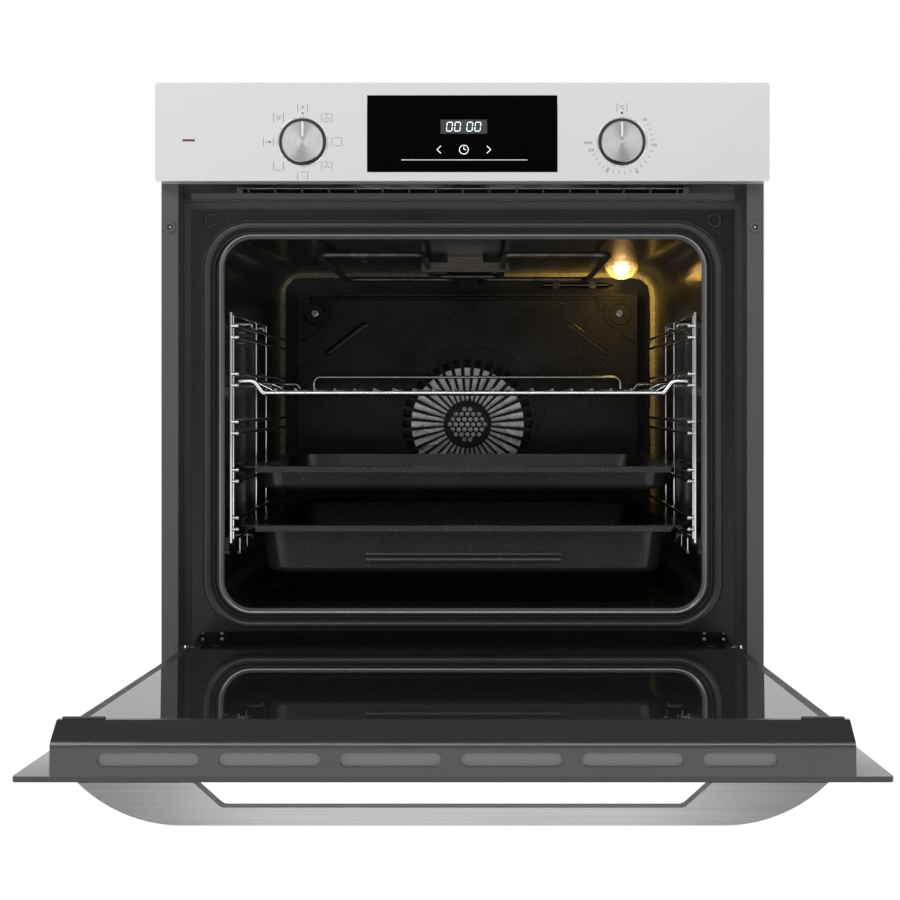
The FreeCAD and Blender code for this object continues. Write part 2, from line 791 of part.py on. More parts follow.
def outlet_grille():
    """Strip under the fascia with the long air slot and its ribs."""
    y0, y1 = glass_back + trim_face + trim_slant_rise + grille_gap, channel_depth - 0.5
    bottom = duct_bottom + 5.4
    strip = box(-half_flange, half_flange, y0, y1, duct_bottom - 1 + 0.2, bottom)
    strip = strip.cut(box(-half_flange - 1, half_flange + 1, y0 + 1.4, y1 + 1, duct_bottom - 3, bottom - 1.4))
    ribs = []
    top = fascia_bottom - 0.4
    half_rib, half_end = rib_width / 2, 3
    rib_pitch = 2 * (duct_half - rib_end_space) / (rib_count - 1)
    for i in range(rib_count):
        x = (i - (rib_count - 1) / 2) * rib_pitch
        ribs.append(box(x - half_rib, x + half_rib, y0 + 2, y1, bottom, top))
    for x in (-duct_half, duct_half):
        ribs.append(box(x - half_end, x + half_end, y0, y1, bottom, top))
    return strip.fuse(ribs)


def blower_housing():
    """Round housing on top of the duct with an inlet ring for the cooling wheel."""
    t = blower_sheet
    low = duct_top
    high = duct_top + blower_height
    outer = rod_z(blower_radius + 8, 0, blower_y, low, high)
    hollow = rod_z(blower_radius + 8 - t, 0, blower_y, low - 1, high - t)
    inlet = rod_z(34, 0, blower_y, high - 3, high + 1)
    flange = rod_z(blower_radius + 16, 0, blower_y, low, low + t)
    flange = flange.cut(rod_z(blower_radius + 8 - t, 0, blower_y, low - 1, low + 3))
    return outer.cut(hollow).cut(inlet).fuse(flange)


def blower_motor():
    """Motor of the cooling blower on three legs above the inlet."""
    low = duct_top + blower_height
    body = rod_z(24, 0, blower_y, low + 8, low + 36)
    body = body.makeFillet(3, [e for e in body.Edges if abs(e.CenterOfMass.z - low - 36) < 0.01])
    legs = []
    for i in range(3):
        leg = box(20, 62, blower_y - 5, blower_y + 5, low + 8, low + 10)
        foot = box(60, 62, blower_y - 5, blower_y + 5, low, low + 10)
        leg = leg.fuse(foot)
        leg.rotate(Vector(0, blower_y, 0), Z_AXIS, 120 * i + 30)
        legs.append(leg)
    bore = rod_z(motor_shaft_radius + pin_running_gap, 0, blower_y, low + 7, low + 30)
    return body.fuse(legs).cut(bore)


def blower_wheel():
    """Radial wheel of the cooling blower with its shaft."""
    low = duct_top + 6
    high = low + blower_wheel_height
    disc = rod_z(blower_radius - 8, 0, blower_y, high - 1.2, high)
    disc = disc.cut(rod_z(30, 0, blower_y, high - 3, high + 3))
    plate = rod_z(blower_radius - 8, 0, blower_y, low, low + 1.2)
    hub = rod_z(9, 0, blower_y, low + 1.2, low + 12)
    shaft = rod_z(motor_shaft_radius, 0, blower_y, low + 12, duct_top + blower_height + 24)
    blades = []
    for i in range(blower_blades):
        blade = box(34, blower_radius - 9, blower_y - 0.5, blower_y + 0.5, low + 1.2, high - 1.2)
        blade.rotate(Vector(44, blower_y, 0), Z_AXIS, 35)
        blade.rotate(Vector(0, blower_y, 0), Z_AXIS, 360 / blower_blades * i)
        blades.append(blade)
    return plate.fuse([disc, hub, shaft] + blades)


# ---------------------------------------------------------------- convection
def fan_cover():
    """Removable rear panel of the cavity: pressed ring, radial slots, drilled hub."""
    t = fan_cover_sheet
    y = fan_cover_y
    depth = cavity_back - y
    slope = fan_cover_slope
    low, high = fan_cover_bottom, fan_cover_top
    half = fan_cover_half
    plate = rounded_plate_y(-half + slope, half - slope, low, high, 6, y, y + t)
    side_profile = [
        Vector(half - slope - t, y, low + 8),
        Vector(half - slope, y, low + 8),
        Vector(half, y + depth, low + 8),
        Vector(half - t, y + depth, low + 8),
    ]
    side = Part.Face(Part.makePolygon(side_profile + side_profile[:1]))
    side = side.extrude(Vector(0, 0, high - low - 16))
    top_lip = box(-half + 20, half - 20, y, y + depth - 8, high - t, high)
    cover = plate.fuse([side, mirror_x(side), top_lip])
    groove = ring_y(fan_ring_radius + 2.5, fan_ring_radius - 2.5, 0, fan_z, y - 1.6, y)
    inner_ring = ring_y(fan_inner_ring + 1.5, fan_inner_ring - 1.5, 0, fan_z, y - 1.2, y)
    hub_ring = ring_y(fan_hub_radius, fan_hub_radius - 1.2, 0, fan_z, y - 0.8, y)
    cover = cover.fuse([groove, inner_ring, hub_ring])
    cuts = []
    slot_angle = 360 / fan_slots
    half_in = fan_slot_inner * math.radians(slot_angle) * 0.28
    half_out = fan_slot_outer * math.radians(slot_angle) * 0.31
    slot_corners = [
        (-half_in, fan_z + fan_slot_inner),
        (half_in, fan_z + fan_slot_inner),
        (half_out, fan_z + fan_slot_outer),
        (-half_out, fan_z + fan_slot_outer),
    ]
    for i in range(fan_slots):
        slot = plate_y(slot_corners, y - 3, y + 3)
        slot.rotate(Vector(0, 0, fan_z), Y_AXIS, slot_angle * i)
        cuts.append(slot)
    holes_in_rows = (2, 5, 6, 7, 6, 5, 2)
    for row, count in enumerate(holes_in_rows):
        z = fan_z + (row - 3) * fan_hole_pitch * math.sqrt(3) / 2
        for i in range(count):
            x = (i - (count - 1) / 2) * fan_hole_pitch
            cuts.append(rod_y(fan_hole_radius, x, z, y - 3, y + 3))
    for x, z in fan_screw_places:
        cuts.append(rod_y(2.2, x, z, y - 3, y + 3))
    return cover.cut(group(cuts))


def cavity_fasteners():
    """The fan cover's four long screws and the racks' studs."""
    length = cavity_back + 6 - fan_cover_y
    screws = [screw_y(x, z, fan_cover_y, 5, 1.7, length) for x, z in fan_screw_places]
    return group(screws + rack_studs())


def convection_fan():
    """Stamped aluminium fan wheel on its shaft."""
    y = fan_cover_y + fan_wheel_gap
    y_disc = y + fan_wheel_depth
    disc = rod_y(fan_wheel_radius, 0, fan_z, y_disc, y_disc + 1.2)
    shaft = rod_y(motor_shaft_radius, 0, fan_z, y + 4, cavity_back + 30)
    nut = rod_y(8, 0, fan_z, y + 8, y_disc)
    blades = []
    for i in range(fan_blades):
        blade = box(-0.6, 0.6, y, y_disc, fan_z + 34, fan_z + fan_wheel_radius - 1)
        blade.rotate(Vector(0, 0, fan_z + 52), Y_AXIS, 24)
        blade.rotate(Vector(0, 0, fan_z), Y_AXIS, 360 / fan_blades * i)
        blades.append(blade)
    return disc.fuse([shaft, nut] + blades)


def convection_motor():
    """Fan motor with its mounting bracket, behind the cavity."""
    wall = cavity_back + enamel_sheet
    body = rod_y(motor_radius, 0, fan_z, wall + 10, carcass_depth - 14)
    body = body.makeFillet(4, [e for e in body.Edges if abs(e.CenterOfMass.y - carcass_depth + 14) < 0.01])
    bracket = box(-33, 33, wall + 30, wall + 32, fan_z - 45, fan_z + 45)
    feet = []
    for z in (fan_z - 41, fan_z + 41):
        feet.append(box(-33, 33, wall + wool_thickness - 0.8, wall + 30, z - 4, z + 4))
    bore = rod_y(motor_shaft_radius + pin_running_gap, 0, fan_z, wall + 9, cavity_back + 40)
    return body.fuse([bracket] + feet).cut(bore)


def ring_heater():
    """Heating tube bent into a ring round the fan, with its two ends through the back."""
    y = fan_cover_y + ring_heater_depth
    r = ring_heater_radius
    gap_angle = math.asin(heater_end_x / r)
    start = Vector(r * math.sin(gap_angle), y, fan_z + r * math.cos(gap_angle))
    end = Vector(-start.x, y, start.z)
    bottom = Vector(0, y, fan_z - r)
    arc = Part.Arc(start, bottom, end).toShape()
    tangent = Vector(math.cos(gap_angle), 0, -math.sin(gap_angle))
    profile = Part.Wire(Part.makeCircle(heater_tube, start, tangent))
    ring = Part.Wire([arc]).makePipeShell([profile], True, False)
    ends = []
    for point in (start, end):
        ends.append(rod_y(heater_tube, point.x, point.z, y, cavity_back + heater_tail))
        ends.append(Part.makeSphere(heater_tube, point))
    return ring.fuse(ends)


def grill_element():
    """Grill tube under the ceiling: two loops, forward and back, ends through the back."""
    z = grill_z
    x_out, x_in = grill_outer_x, grill_inner_x
    front, back = grill_front, cavity_back - grill_back_space
    turn = cavity_back - grill_turn_space
    path = [
        (-heater_end_x, cavity_back + heater_tail, z),
        (-heater_end_x, turn, z),
        (-x_out, turn, z),
        (-x_out, front, z),
        (-x_in, front, z),
        (-x_in, back, z),
        (x_in, back, z),
        (x_in, front, z),
        (x_out, front, z),
        (x_out, turn, z),
        (heater_end_x, turn, z),
        (heater_end_x, cavity_back + heater_tail, z),
    ]
    return bent_wire(heater_tube, path, grill_bend)


def element_brackets():
    """Bright strap that hangs the grill tube, and the sensing tube's two clips."""
    y0, y1 = grill_bracket_y, grill_bracket_y + grill_strap_sheet
    hole = heater_tube + heater_hole_gap
    low, high = grill_z - hole - grill_strap_margin, grill_z + hole + grill_strap_margin
    top = cavity_ceiling - 0.2
    half = grill_inner_x + hole + grill_strap_margin + 2
    strap = box(-half, half, y0, y1, low, high)
    middle = box(-grill_hanger_half, grill_hanger_half, y0, y1, low, top)
    foot = box(-grill_hanger_half, grill_hanger_half, y0, y1 + 14, top - grill_strap_sheet, top)
    strap = strap.fuse([middle, foot])
    holes = [rod_y(hole, x, grill_z, y0 - 1, y1 + 1) for x in (-grill_inner_x, grill_inner_x)]
    return group([strap.cut(group(holes))] + probe_clips())


def lower_element():
    """Bottom heating tube under the cavity floor."""
    z = cavity_floor - enamel_sheet - heater_tube - 1.5
    front, back = lower_front, cavity_back - lower_back_space
    tail = cavity_back + heater_tail
    path = [
        (-lower_end_x, tail, z),
        (-lower_end_x, back, z),
        (-grill_outer_x, back, z),
        (-grill_outer_x, front, z),
        (grill_outer_x, front, z),
        (grill_outer_x, back, z),
        (lower_end_x, back, z),
        (lower_end_x, tail, z),
    ]
    return bent_wire(heater_tube, path, lower_bend)


def temperature_probe():
    """Thermostat's sensing tube, lying in two clips high on the cavity's back."""
    y = cavity_back - probe_back
    tube = rod(probe_radius, Vector(probe_x0, y, probe_z), Vector(probe_x1, y, probe_z))
    path = [(probe_x1 - 1, y, probe_z), (probe_neck_x, y, probe_z), (probe_neck_x, cavity_back + 20, probe_z)]
    neck = bent_wire(1.4, path, 4)
    return tube.fuse(neck)


def probe_clips():
    """Two sprung clips that hold the sensing tube off the cavity's back."""
    clips = []
    y = cavity_back - probe_back - probe_radius - 2
    inside = probe_radius + 0.6
    for x in (probe_x0 + 16, probe_x1 - 20):
        clip = box(x - 4, x + 4, y, cavity_back, probe_z - inside - 1, probe_z + inside + 1)
        clip = clip.cut(box(x - 5, x + 5, y + 1, cavity_back - 1, probe_z - inside, probe_z + inside))
        clips.append(clip)
    return clips


def lamp_socket():
    """Ceramic lamp holder above the ceiling."""
    low = cavity_ceiling + enamel_sheet
    body = rod_z(lamp_radius + 3, lamp_x, lamp_y, low, low + 24)
    hollow = rod_z(lamp_radius - 4, lamp_x, lamp_y, low - 1, low + 18)
    return body.cut(hollow)


def lamp_bulb():
    """Small oven lamp: glass envelope and cap."""
    low = cavity_ceiling + enamel_sheet
    cap = rod_z(6, lamp_x, lamp_y, low + 6, low + 18)
    envelope = Part.makeSphere(bulb_radius, Vector(lamp_x, lamp_y, low - 2))
    neck = rod_z(5.4, lamp_x, lamp_y, low, low + 6)
    return cap.fuse([envelope, neck])


def lamp_glass():
    """Screw-in glass dome that covers the lamp."""
    rim_z = cavity_ceiling
    outer = Part.makeSphere(lamp_radius, Vector(lamp_x, lamp_y, rim_z))
    inner = Part.makeSphere(lamp_radius - lamp_wall, Vector(lamp_x, lamp_y, rim_z))
    shell = outer.cut(inner)
    keep = box(lamp_x - 40, lamp_x + 40, lamp_y - 40, lamp_y + 40, rim_z - 40, rim_z - 0.2)
    shell = shell.common(keep)
    squash = FreeCAD.Matrix()
    squash.A33 = lamp_dome / lamp_radius
    squash.A34 = rim_z - rim_z * lamp_dome / lamp_radius
    return shell.transformGeometry(squash)


# ---------------------------------------------------------------- racks, shelf, trays
def rack_level(index):
    """Heights of a level's upper and lower wire."""
    upper = rack_first_upper + rack_pitch * index
    return upper, upper - rack_pair_gap


def side_rack():
    """Right-hand chromed rack: welded posts, bars and five pairs of support wires."""
    top, bottom = rack_top, rack_bottom
    bar_wire = rack_wire - 0.1
    first, last = rack_posts[0], rack_posts[-1]
    wires = [rod_z(rack_wire, rack_post_x, y, bottom - rack_wire, top + rack_wire) for y in rack_posts]
    for z in (bottom, top):
        wires.append(rod_y(bar_wire, rack_post_x, z, first - 1, last + 1))
    for index in range(rack_levels):
        for z in rack_level(index):
            wires.append(rod_y(rack_wire, rack_rail_x, z, rack_front, rack_back))
            for y in rack_posts:
                wires.append(rod(bar_wire, Vector(rack_rail_x - 1, y, z), Vector(rack_post_x, y, z)))
    foot_z = bottom - rack_foot_drop
    for y in rack_foot_posts:
        wires.append(rod_z(bar_wire, rack_post_x, y, foot_z, bottom + 1))
    wires.append(rod_y(rack_wire, rack_post_x, foot_z, rack_foot_posts[0] - 2, rack_foot_posts[1] + 2))
    return wires[0].fuse(wires[1:])


def rack_studs():
    """Round-headed studs on the cavity walls that carry the racks."""
    studs = []
    gap = 0.15
    head_thickness = 2.0
    head_drop = stud_head - stud_radius + 0.2
    outer = rack_post_x - rack_wire
    inner = outer - head_thickness
    for bar_z in (rack_top, rack_bottom):
        for y in stud_places:
            z = bar_z - rack_wire - gap - stud_radius
            stud = rod(stud_radius, Vector(half_cavity, y, z), Vector(outer, y, z))
            head = rod(stud_head, Vector(outer, y, z - head_drop), Vector(inner, y, z - head_drop))
            studs.append(stud.fuse(head))
    return studs + [mirror_x(s) for s in studs]


def shelf_z():
    """Height of the shelf's side wires, which lie on the fourth level's lower wire."""
    return rack_level(3)[1] + rack_wire + slide_clearance + shelf_frame_wire


def wire_shelf():
    """Chromed shelf: sunken grid, raised side wires in the racks, raised back wire."""
    z_side = shelf_z()
    z_grid = z_side - shelf_drop
    x_side = shelf_side_x
    front, back = tray_front_y + shelf_front_inset, tray_back_y
    wires = []
    for s in (-1, 1):
        wires.append(rod_y(shelf_frame_wire, s * x_side, z_side, front, back))
        for y in (front, back):
            wires.append(Part.makeSphere(shelf_frame_wire, Vector(s * x_side, y, z_side)))
    inner = shelf_grid_half
    for y in (front, back):
        crank = [
            (-x_side, y, z_side),
            (-inner - shelf_crank, y, z_side),
            (-inner, y, z_grid),
            (inner, y, z_grid),
            (inner + shelf_crank, y, z_side),
            (x_side, y, z_side),
        ]
        wires.append(bent_wire(shelf_frame_wire, crank, 6))
    lift = shelf_frame_wire + shelf_wire
    cross_wire = shelf_frame_wire - 0.4
    for y in (front + shelf_cross_pitch, front + 2 * shelf_cross_pitch):
        wires.append(rod(cross_wire, Vector(-inner, y, z_grid), Vector(inner, y, z_grid)))
        for s in (-1, 1):
            wires.append(rod(shelf_wire, Vector(s * inner, y, z_grid), Vector(s * x_side, y, z_side)))
            wires.append(Part.makeSphere(cross_wire, Vector(s * inner, y, z_grid)))
    count = int(2 * (inner - 4) / shelf_grid_pitch)
    for i in range(count + 1):
        x = (i - count / 2) * shelf_grid_pitch
        wires.append(rod_y(shelf_wire, x, z_grid + lift - 0.8, front - 1.5, back + 1.5))
    guard_z = z_side + 9
    guard_x = inner - shelf_guard_inset
    guard = [
        (-guard_x, back, z_grid),
        (-guard_x, back, guard_z),
        (guard_x, back, guard_z),
        (guard_x, back, z_grid),
    ]
    wires.append(bent_wire(shelf_frame_wire - 0.5, guard, 8))
    return wires[0].fuse(wires[1:])


def pressed_tray(rim_bottom, half, body_height):
    """Enamelled tray pressed from one sheet: flat rim, sloping rounded walls."""
    front, back = tray_front_y, tray_back_y
    y0, y1 = front + tray_rim_front, back - tray_rim_front
    t = tray_sheet
    taper = body_height * tray_taper

    def outline(inset, z):
        """The walls' rounded outline at one height."""
        x = half - inset
        a, b = y0 + inset, y1 - inset
        r = tray_corner - inset / 2
        corners = [(-x, a), (x, a), (x, b), (-x, b)]
        centres = [(-x + r, a + r), (x - r, a + r), (x - r, b - r), (-x + r, b - r)]
        edges = []
        angle = 180.0
        ends = []
        for cx, cy in centres:
            points = []
            for step in (0, 45, 90):
                rad = math.radians(angle + step)
                points.append(Vector(cx + r * math.cos(rad), cy + r * math.sin(rad), z))
            ends.append(points)
            angle += 90
        for i, points in enumerate(ends):
            edges.append(Part.Arc(*points).toShape())
            edges.append(Part.LineSegment(points[2], ends[(i + 1) % len(corners)][0]).toShape())
        return Part.Wire(edges)

    rim_top = rim_bottom + t
    low = rim_top - body_height
    outside = Part.makeLoft([outline(taper, low), outline(0, rim_top)], True, True)
    floor_edges = [e for e in outside.Edges if e.BoundBox.ZMax < low + 0.01]
    outside = outside.makeFillet(tray_floor_round, floor_edges)
    inside = Part.makeLoft([outline(taper + t, low + t), outline(t, rim_top + 0.01)], True, True)
    floor_edges = [e for e in inside.Edges if e.BoundBox.ZMax < low + t + 0.01]
    inside = inside.makeFillet(tray_floor_round - 1, floor_edges)
    rim = box(-tray_rim_half, tray_rim_half, front, back, rim_bottom, rim_top)
    corner_edges = [e for e in rim.Edges if abs(e.tangentAt(e.FirstParameter).z) > 0.99]
    rim = rim.makeFillet(16, corner_edges)
    lip_half = tray_rim_half - 20
    front_lip = box(-lip_half, lip_half, front, front + t, rim_bottom - tray_lip, rim_bottom)
    back_lip = box(-lip_half, lip_half, back - t, back, rim_bottom - tray_lip, rim_bottom)
    return rim.fuse([outside, front_lip, back_lip]).cut(inside)


def shallow_tray():
    """Shallow tray, its rim on the second level's upper wire."""
    rim_bottom = rack_level(1)[0] + rack_wire + slide_clearance
    return pressed_tray(rim_bottom, tray_rim_half - shallow_body_inset, shallow_body_height)


def deep_tray():
    """Deep tray, its rim between the first level's two wires."""
    rim_bottom = rack_level(0)[1] + rack_wire + slide_clearance
    return pressed_tray(rim_bottom, tray_rim_half - deep_body_inset, deep_body_height)


# ---------------------------------------------------------------- control panel
def control_fascia():
    """Light glossy panel: front plate with returns round its edge, cut for the controls."""
    y0, y1 = fascia_front, -strip_thickness
    body = box(-half_front, half_front, y0, y1, fascia_bottom, front_height)
    upright = [e for e in body.Edges if abs(e.tangentAt(e.FirstParameter).y) > 0.99]
    body = body.makeFillet(corner_radius, upright)
    w = fascia_wall
    hollow = box(
        -half_front + w, half_front - w, y0 + fascia_plate, y1 + 1, fascia_bottom + w, front_height - w
    )
    body = body.cut(hollow)
    front_edges = [e for e in body.Edges if abs(e.BoundBox.YMax - y0) < 0.01]
    body = body.makeFillet(front_round, front_edges)
    near, far = y0 - 1, y0 + 9
    cuts = [rod_y(knob_well_outer + cutout_gap, x, knob_z, near, far) for x in (-knob_x, knob_x)]
    windows = [(0, display_z, display_width, display_height), (pilot_x, pilot_z, pilot_width, pilot_height)]
    for x, z, width, height in windows:
        half_w, half_h = width / 2 + cutout_gap, height / 2 + cutout_gap
        cuts.append(box(x - half_w, x + half_w, near, far, z - half_h, z + half_h))
    return body.cut(group(cuts))


def knob_wells():
    """Black plastic cups behind the fascia that the pushed-in knobs sit in."""
    wells = []
    y0 = fascia_front + 0.5
    y_floor = bracket_y - 2.0
    for x in (-knob_x, knob_x):
        tube = ring_y(knob_well_outer, knob_well_inner, x, knob_z, y0, bracket_y)
        floor = ring_y(knob_well_outer, spindle_radius + 0.5, x, knob_z, y_floor, bracket_y)
        wells.append(tube.fuse(floor))
    return group(wells)


def knob_bezels():
    """Thin chromed rings round the wells, on the fascia's face."""
    inner = knob_well_outer + cutout_gap + 0.4
    rings = []
    for x in (-knob_x, knob_x):
        ring = ring_y(bezel_radius, inner, x, knob_z, fascia_front - bezel_thickness, fascia_front)
        edges = [e for e in ring.Edges if abs(e.BoundBox.YMax - fascia_front + bezel_thickness) < 0.01]
        rings.append(ring.makeFillet(0.3, edges))
    return group(rings)


def display_glass():
    """Dark glass of the touch display, flush in the fascia."""
    half_w = display_width / 2
    half_h = display_height / 2
    y0 = fascia_front - display_proud
    low, high = display_z - half_h, display_z + half_h
    glass = rounded_plate_y(-half_w, half_w, low, high, front_round, y0, y0 + fascia_plate)
    edges = [e for e in glass.Edges if abs(e.BoundBox.YMax - y0) < 0.01]
    return glass.makeChamfer(display_proud, edges)


def display_module():
    """Clock and touch electronics in a box behind the display glass."""
    y0 = fascia_front - display_proud + fascia_plate
    half_w = display_width / 2 - display_box_margin
    half_h = display_height / 2 - display_box_inset
    case = box(-half_w, half_w, y0, bracket_y, display_z - half_h, display_z + half_h)
    window = box(-26, 28, y0 - 1, y0 + 1.2, display_z - 2, display_z + 16)
    return case.cut(window)


def pilot_lamp():
    """Narrow red lens of the pilot light."""
    half_w, half_h = pilot_width / 2, pilot_height / 2
    y0 = fascia_front - 0.1
    return box(pilot_x - half_w, pilot_x + half_w, y0, y0 + 6, pilot_z - half_h, pilot_z + half_h)


def control_bracket():
    """Folded sheet behind the fascia that carries the switches and the display."""
    y = bracket_y
    low, high = fascia_bottom + 3.5, carcass_height - 4
    half = strip_inner - sheet - 0.5
    plate = box(-half, half, y, y + sheet, low, high)
    lip = box(-half, half, y + sheet, channel_depth - 1, high - sheet, high)
    foot = box(-half, half, y + sheet, channel_depth - 1, low, low + sheet)
    bracket = plate.fuse([lip, foot])
    for x in (-knob_x, knob_x):
        bracket = bracket.cut(rod_y(spindle_radius + 2.5, x, knob_z, y - 1, y + 3))
    return bracket


def rotary_unit(x, width, height, depth):
    """A rotary switch or thermostat bolted behind the bracket, bored for its spindle."""
    y0 = bracket_y + sheet
    body = box(x - width / 2, x + width / 2, y0 + 4, y0 + depth, knob_z - height / 2, knob_z + height / 2)
    edges = [e for e in body.Edges if abs(e.tangentAt(e.FirstParameter).y) > 0.99]
    body = body.makeFillet(3, edges)
    plate = box(x - 18, x + 18, y0, y0 + 4, knob_z - 9, knob_z + 9)
    terminals = []
    for i in range(4):
        tx = x - 12 + 8 * i
        terminals.append(box(tx - 0.4, tx + 0.4, y0 + depth, y0 + depth + 8, knob_z - 3, knob_z + 3))
    bore = rod_y(spindle_radius + pin_running_gap, x, knob_z, y0 - 1, y0 + 17)
    return body.fuse([plate] + terminals).cut(bore)


def function_switch():
    """Rotary selector behind the left knob."""
    return rotary_unit(-knob_x, 40, 44, 34)


def thermostat():
    """Capillary thermostat behind the right knob."""
    return rotary_unit(knob_x, 46, 34, 30)


def spindle(x):
    """Round spindle that turns in the switch and carries the knob."""
    y0 = fascia_front + 2.5
    return rod_y(spindle_radius, x, knob_z, y0, bracket_y + sheet + 16)


def knob_body(x):
    """Black moulded core of a push-in knob, with the socket for its spindle."""
    y0 = fascia_front - knob_proud + knob_disc
    y1 = fascia_front - knob_proud + knob_length
    core = rod_y(knob_skirt_radius, x, knob_z, y0, y1)
    hollow = ring_y(knob_skirt_radius - knob_wall, spindle_radius + 4, x, knob_z, y0 + 4, y1 + 1)
    socket = rod_y(spindle_radius + pin_running_gap, x, knob_z, y0 + 1.5, y1 + 1)
    return core.cut(hollow).cut(socket)


def knob_face(x):
    """Spun aluminium disc on the knob, slotted for the pointer."""
    y0 = fascia_front - knob_proud
    disc = rod_y(knob_radius, x, knob_z, y0, y0 + knob_disc)
    rim = [e for e in disc.Edges if abs(e.CenterOfMass.y - y0) < 0.01]
    disc = disc.makeChamfer(knob_chamfer, rim)
    half = pointer_width / 2
    past_rim = knob_z + knob_radius + 1
    slot = box(x - half, x + half, y0 - 1, y0 + pointer_depth, knob_z + pointer_start, past_rim)
    return disc.cut(slot)


def knob_pointer(x):
    """White moulded pointer line, let into the disc."""
    y0 = fascia_front - knob_proud
    half = pointer_width / 2
    end = knob_radius - knob_chamfer
    return box(x - half, x + half, y0, y0 + pointer_depth, knob_z + pointer_start, knob_z + end)


# ---------------------------------------------------------------- door
def outer_glass():
    """Front glass of the door, drilled for the handle's screws."""
    glass = rounded_plate_y(
        -half_front, half_front, door_bottom, door_top, corner_radius, -front_depth, glass_back
    )
    edges = [e for e in glass.Edges if abs(e.BoundBox.YMax + front_depth) < 0.01]
    glass = glass.makeFillet(front_round, edges)
    holes = [rod_y(3.2, x, handle_screw_z, -front_depth - 1, glass_back + 1) for x in handle_screw_places]
    return glass.cut(group(holes))


def inner_glass():
    """Glass that faces the cavity and meets the gasket."""
    half = inner_glass_half
    y1 = door_inner_face
    y0 = y1 - inner_glass_thickness
    glass = rounded_plate_y(-half, half, inner_glass_bottom, inner_glass_top, 3, y0, y1)
    edges = [e for e in glass.Edges if abs(e.BoundBox.YMin - y1) < 0.01]
    return glass.makeChamfer(0.6, edges)


def middle_glass():
    """Heat-reflecting glass between the other two."""
    half = half_body - door_rail_web - 3
    y0, y1 = middle_glass_y, middle_glass_y + middle_glass_thickness
    return rounded_plate_y(-half, half, middle_glass_bottom, middle_glass_top, 2, y0, y1)


def door_rail():
    """Right-hand side rail: a channel that holds the glasses apart."""
    t = door_rail_sheet
    seat = door_inner_face - inner_glass_thickness
    inner = half_body - door_rail_web
    top = door_top - trim_height - 0.3
    wall = box(half_body - t, half_body, glass_back, seat, door_rail_bottom, top)
    front_web = box(inner, half_body, glass_back, glass_back + t, door_rail_bottom, top)
    back_web = box(inner, half_body, seat - t, seat, door_rail_bottom, top)
    slot_x0, slot_x1 = hinge_centre_x - hinge_arm_thickness, hinge_centre_x + hinge_arm_thickness
    slot_top = hinge_z + hinge_arm_height / 2 + 3
    arm_slot = box(slot_x0, slot_x1, seat - 3, seat + 1, door_rail_bottom - 1, slot_top)
    return wall.fuse([front_web, back_web]).cut(arm_slot)


def glass_holders():
    """Four corner clips that carry the middle glass between the rails."""
    inner = half_body - door_rail_web
    holders = []
    near, far = middle_glass_y - 0.2, middle_glass_y + middle_glass_thickness + 0.2
    clip_thickness = 2
    for z0 in (middle_glass_bottom + 14, middle_glass_top - 22):
        z1 = z0 + holder_height
        foot = box(inner - 8, inner + 4, glass_back + door_rail_sheet, near, z0, z1)
        clip = box(inner - 8, inner - 1, far, far + clip_thickness, z0, z1)
        post = box(inner - 1, inner + 4, near, far + clip_thickness, z0, z1)
        holders.append(foot.fuse([clip, post]))
    return holders + [mirror_x(h) for h in holders]


def door_bottom_rail():
    """Channel along the door's lower edge, between the hinges."""
    t = door_rail_sheet
    seat = door_inner_face - inner_glass_thickness
    half = half_body - door_rail_web - 2
    low, high = door_rail_bottom, inner_glass_bottom + 6
    floor = box(-half, half, glass_back, seat, low, low + t)
    front_web = box(-half, half, glass_back, glass_back + t, low, high)
    back_web = box(-half, half, seat - t, seat, low, high)
    slots = [box(x, x + 40, glass_back + 6, seat - 6, low - 1, low + 3) for x in range(-220, 200, 60)]
    return floor.fuse([front_web, back_web]).cut(group(slots))


def trim_section(inset):
    """Outline of the top trim in the YZ plane, drawn smaller by an inset."""
    y_glass = glass_back + inset
    y_face = glass_back + trim_face
    y_deep = y_face + trim_slant_rise
    top = door_top - inset
    bottom = door_top - trim_height + inset
    slant = math.hypot(trim_slant_rise, trim_slant_depth)
    shift_y = inset * (slant - trim_slant_rise) / trim_slant_depth
    shift_z = inset * (slant - trim_slant_depth) / trim_slant_rise
    z_slant = door_top - trim_slant_depth
    return [
        (y_glass, bottom),
        (y_deep - inset, bottom),
        (y_deep - inset, z_slant - shift_z),
        (y_face - shift_y, top),
        (y_glass, top),
    ]


def trim_block(inset, half_length, round_radius):
    """Solid bar with the trim's section, its outer edge rounded."""
    points = [Vector(-half_length, y, z) for y, z in trim_section(inset)]
    bar = Part.Face(Part.makePolygon(points + points[:1])).extrude(Vector(2 * half_length, 0, 0))
    y_face = trim_section(inset)[3][0]
    top = door_top - inset
    edges = []
    for e in bar.Edges:
        middle = e.CenterOfMass
        if abs(middle.y - y_face) < 0.01 and abs(middle.z - top) < 0.01:
            edges.append(e)
    return bar.makeFillet(round_radius, edges)


def door_trim():
    """Hollow dark trim along the door's top edge, with a row of air slots."""
    trim = trim_block(0, half_body, trim_round)
    hollow = trim_block(trim_wall, half_body - trim_wall, trim_round - trim_wall)
    trim = trim.cut(hollow)
    cuts = []
    y_slot = glass_back + trim_face / 2
    for i in range(trim_slot_count):
        x = trim_slot_start + trim_slot_pitch * i
        length = trim_last_slot if i == trim_slot_count - 1 else trim_slot_length
        cuts.append(slot_z(x, x + length, y_slot, trim_slot_height, door_top - 3, door_top + 1))
    for x in handle_screw_places:
        cuts.append(rod_y(5.4, x, handle_screw_z, glass_back - 1, glass_back + trim_wall + 2))
    bottom = door_top - trim_height
    side = half_body - door_rail_web
    cuts.append(box(-side, side, glass_back + 4, door_inner_face - 9, bottom - 1, bottom + 3))
    return trim.cut(group(cuts))


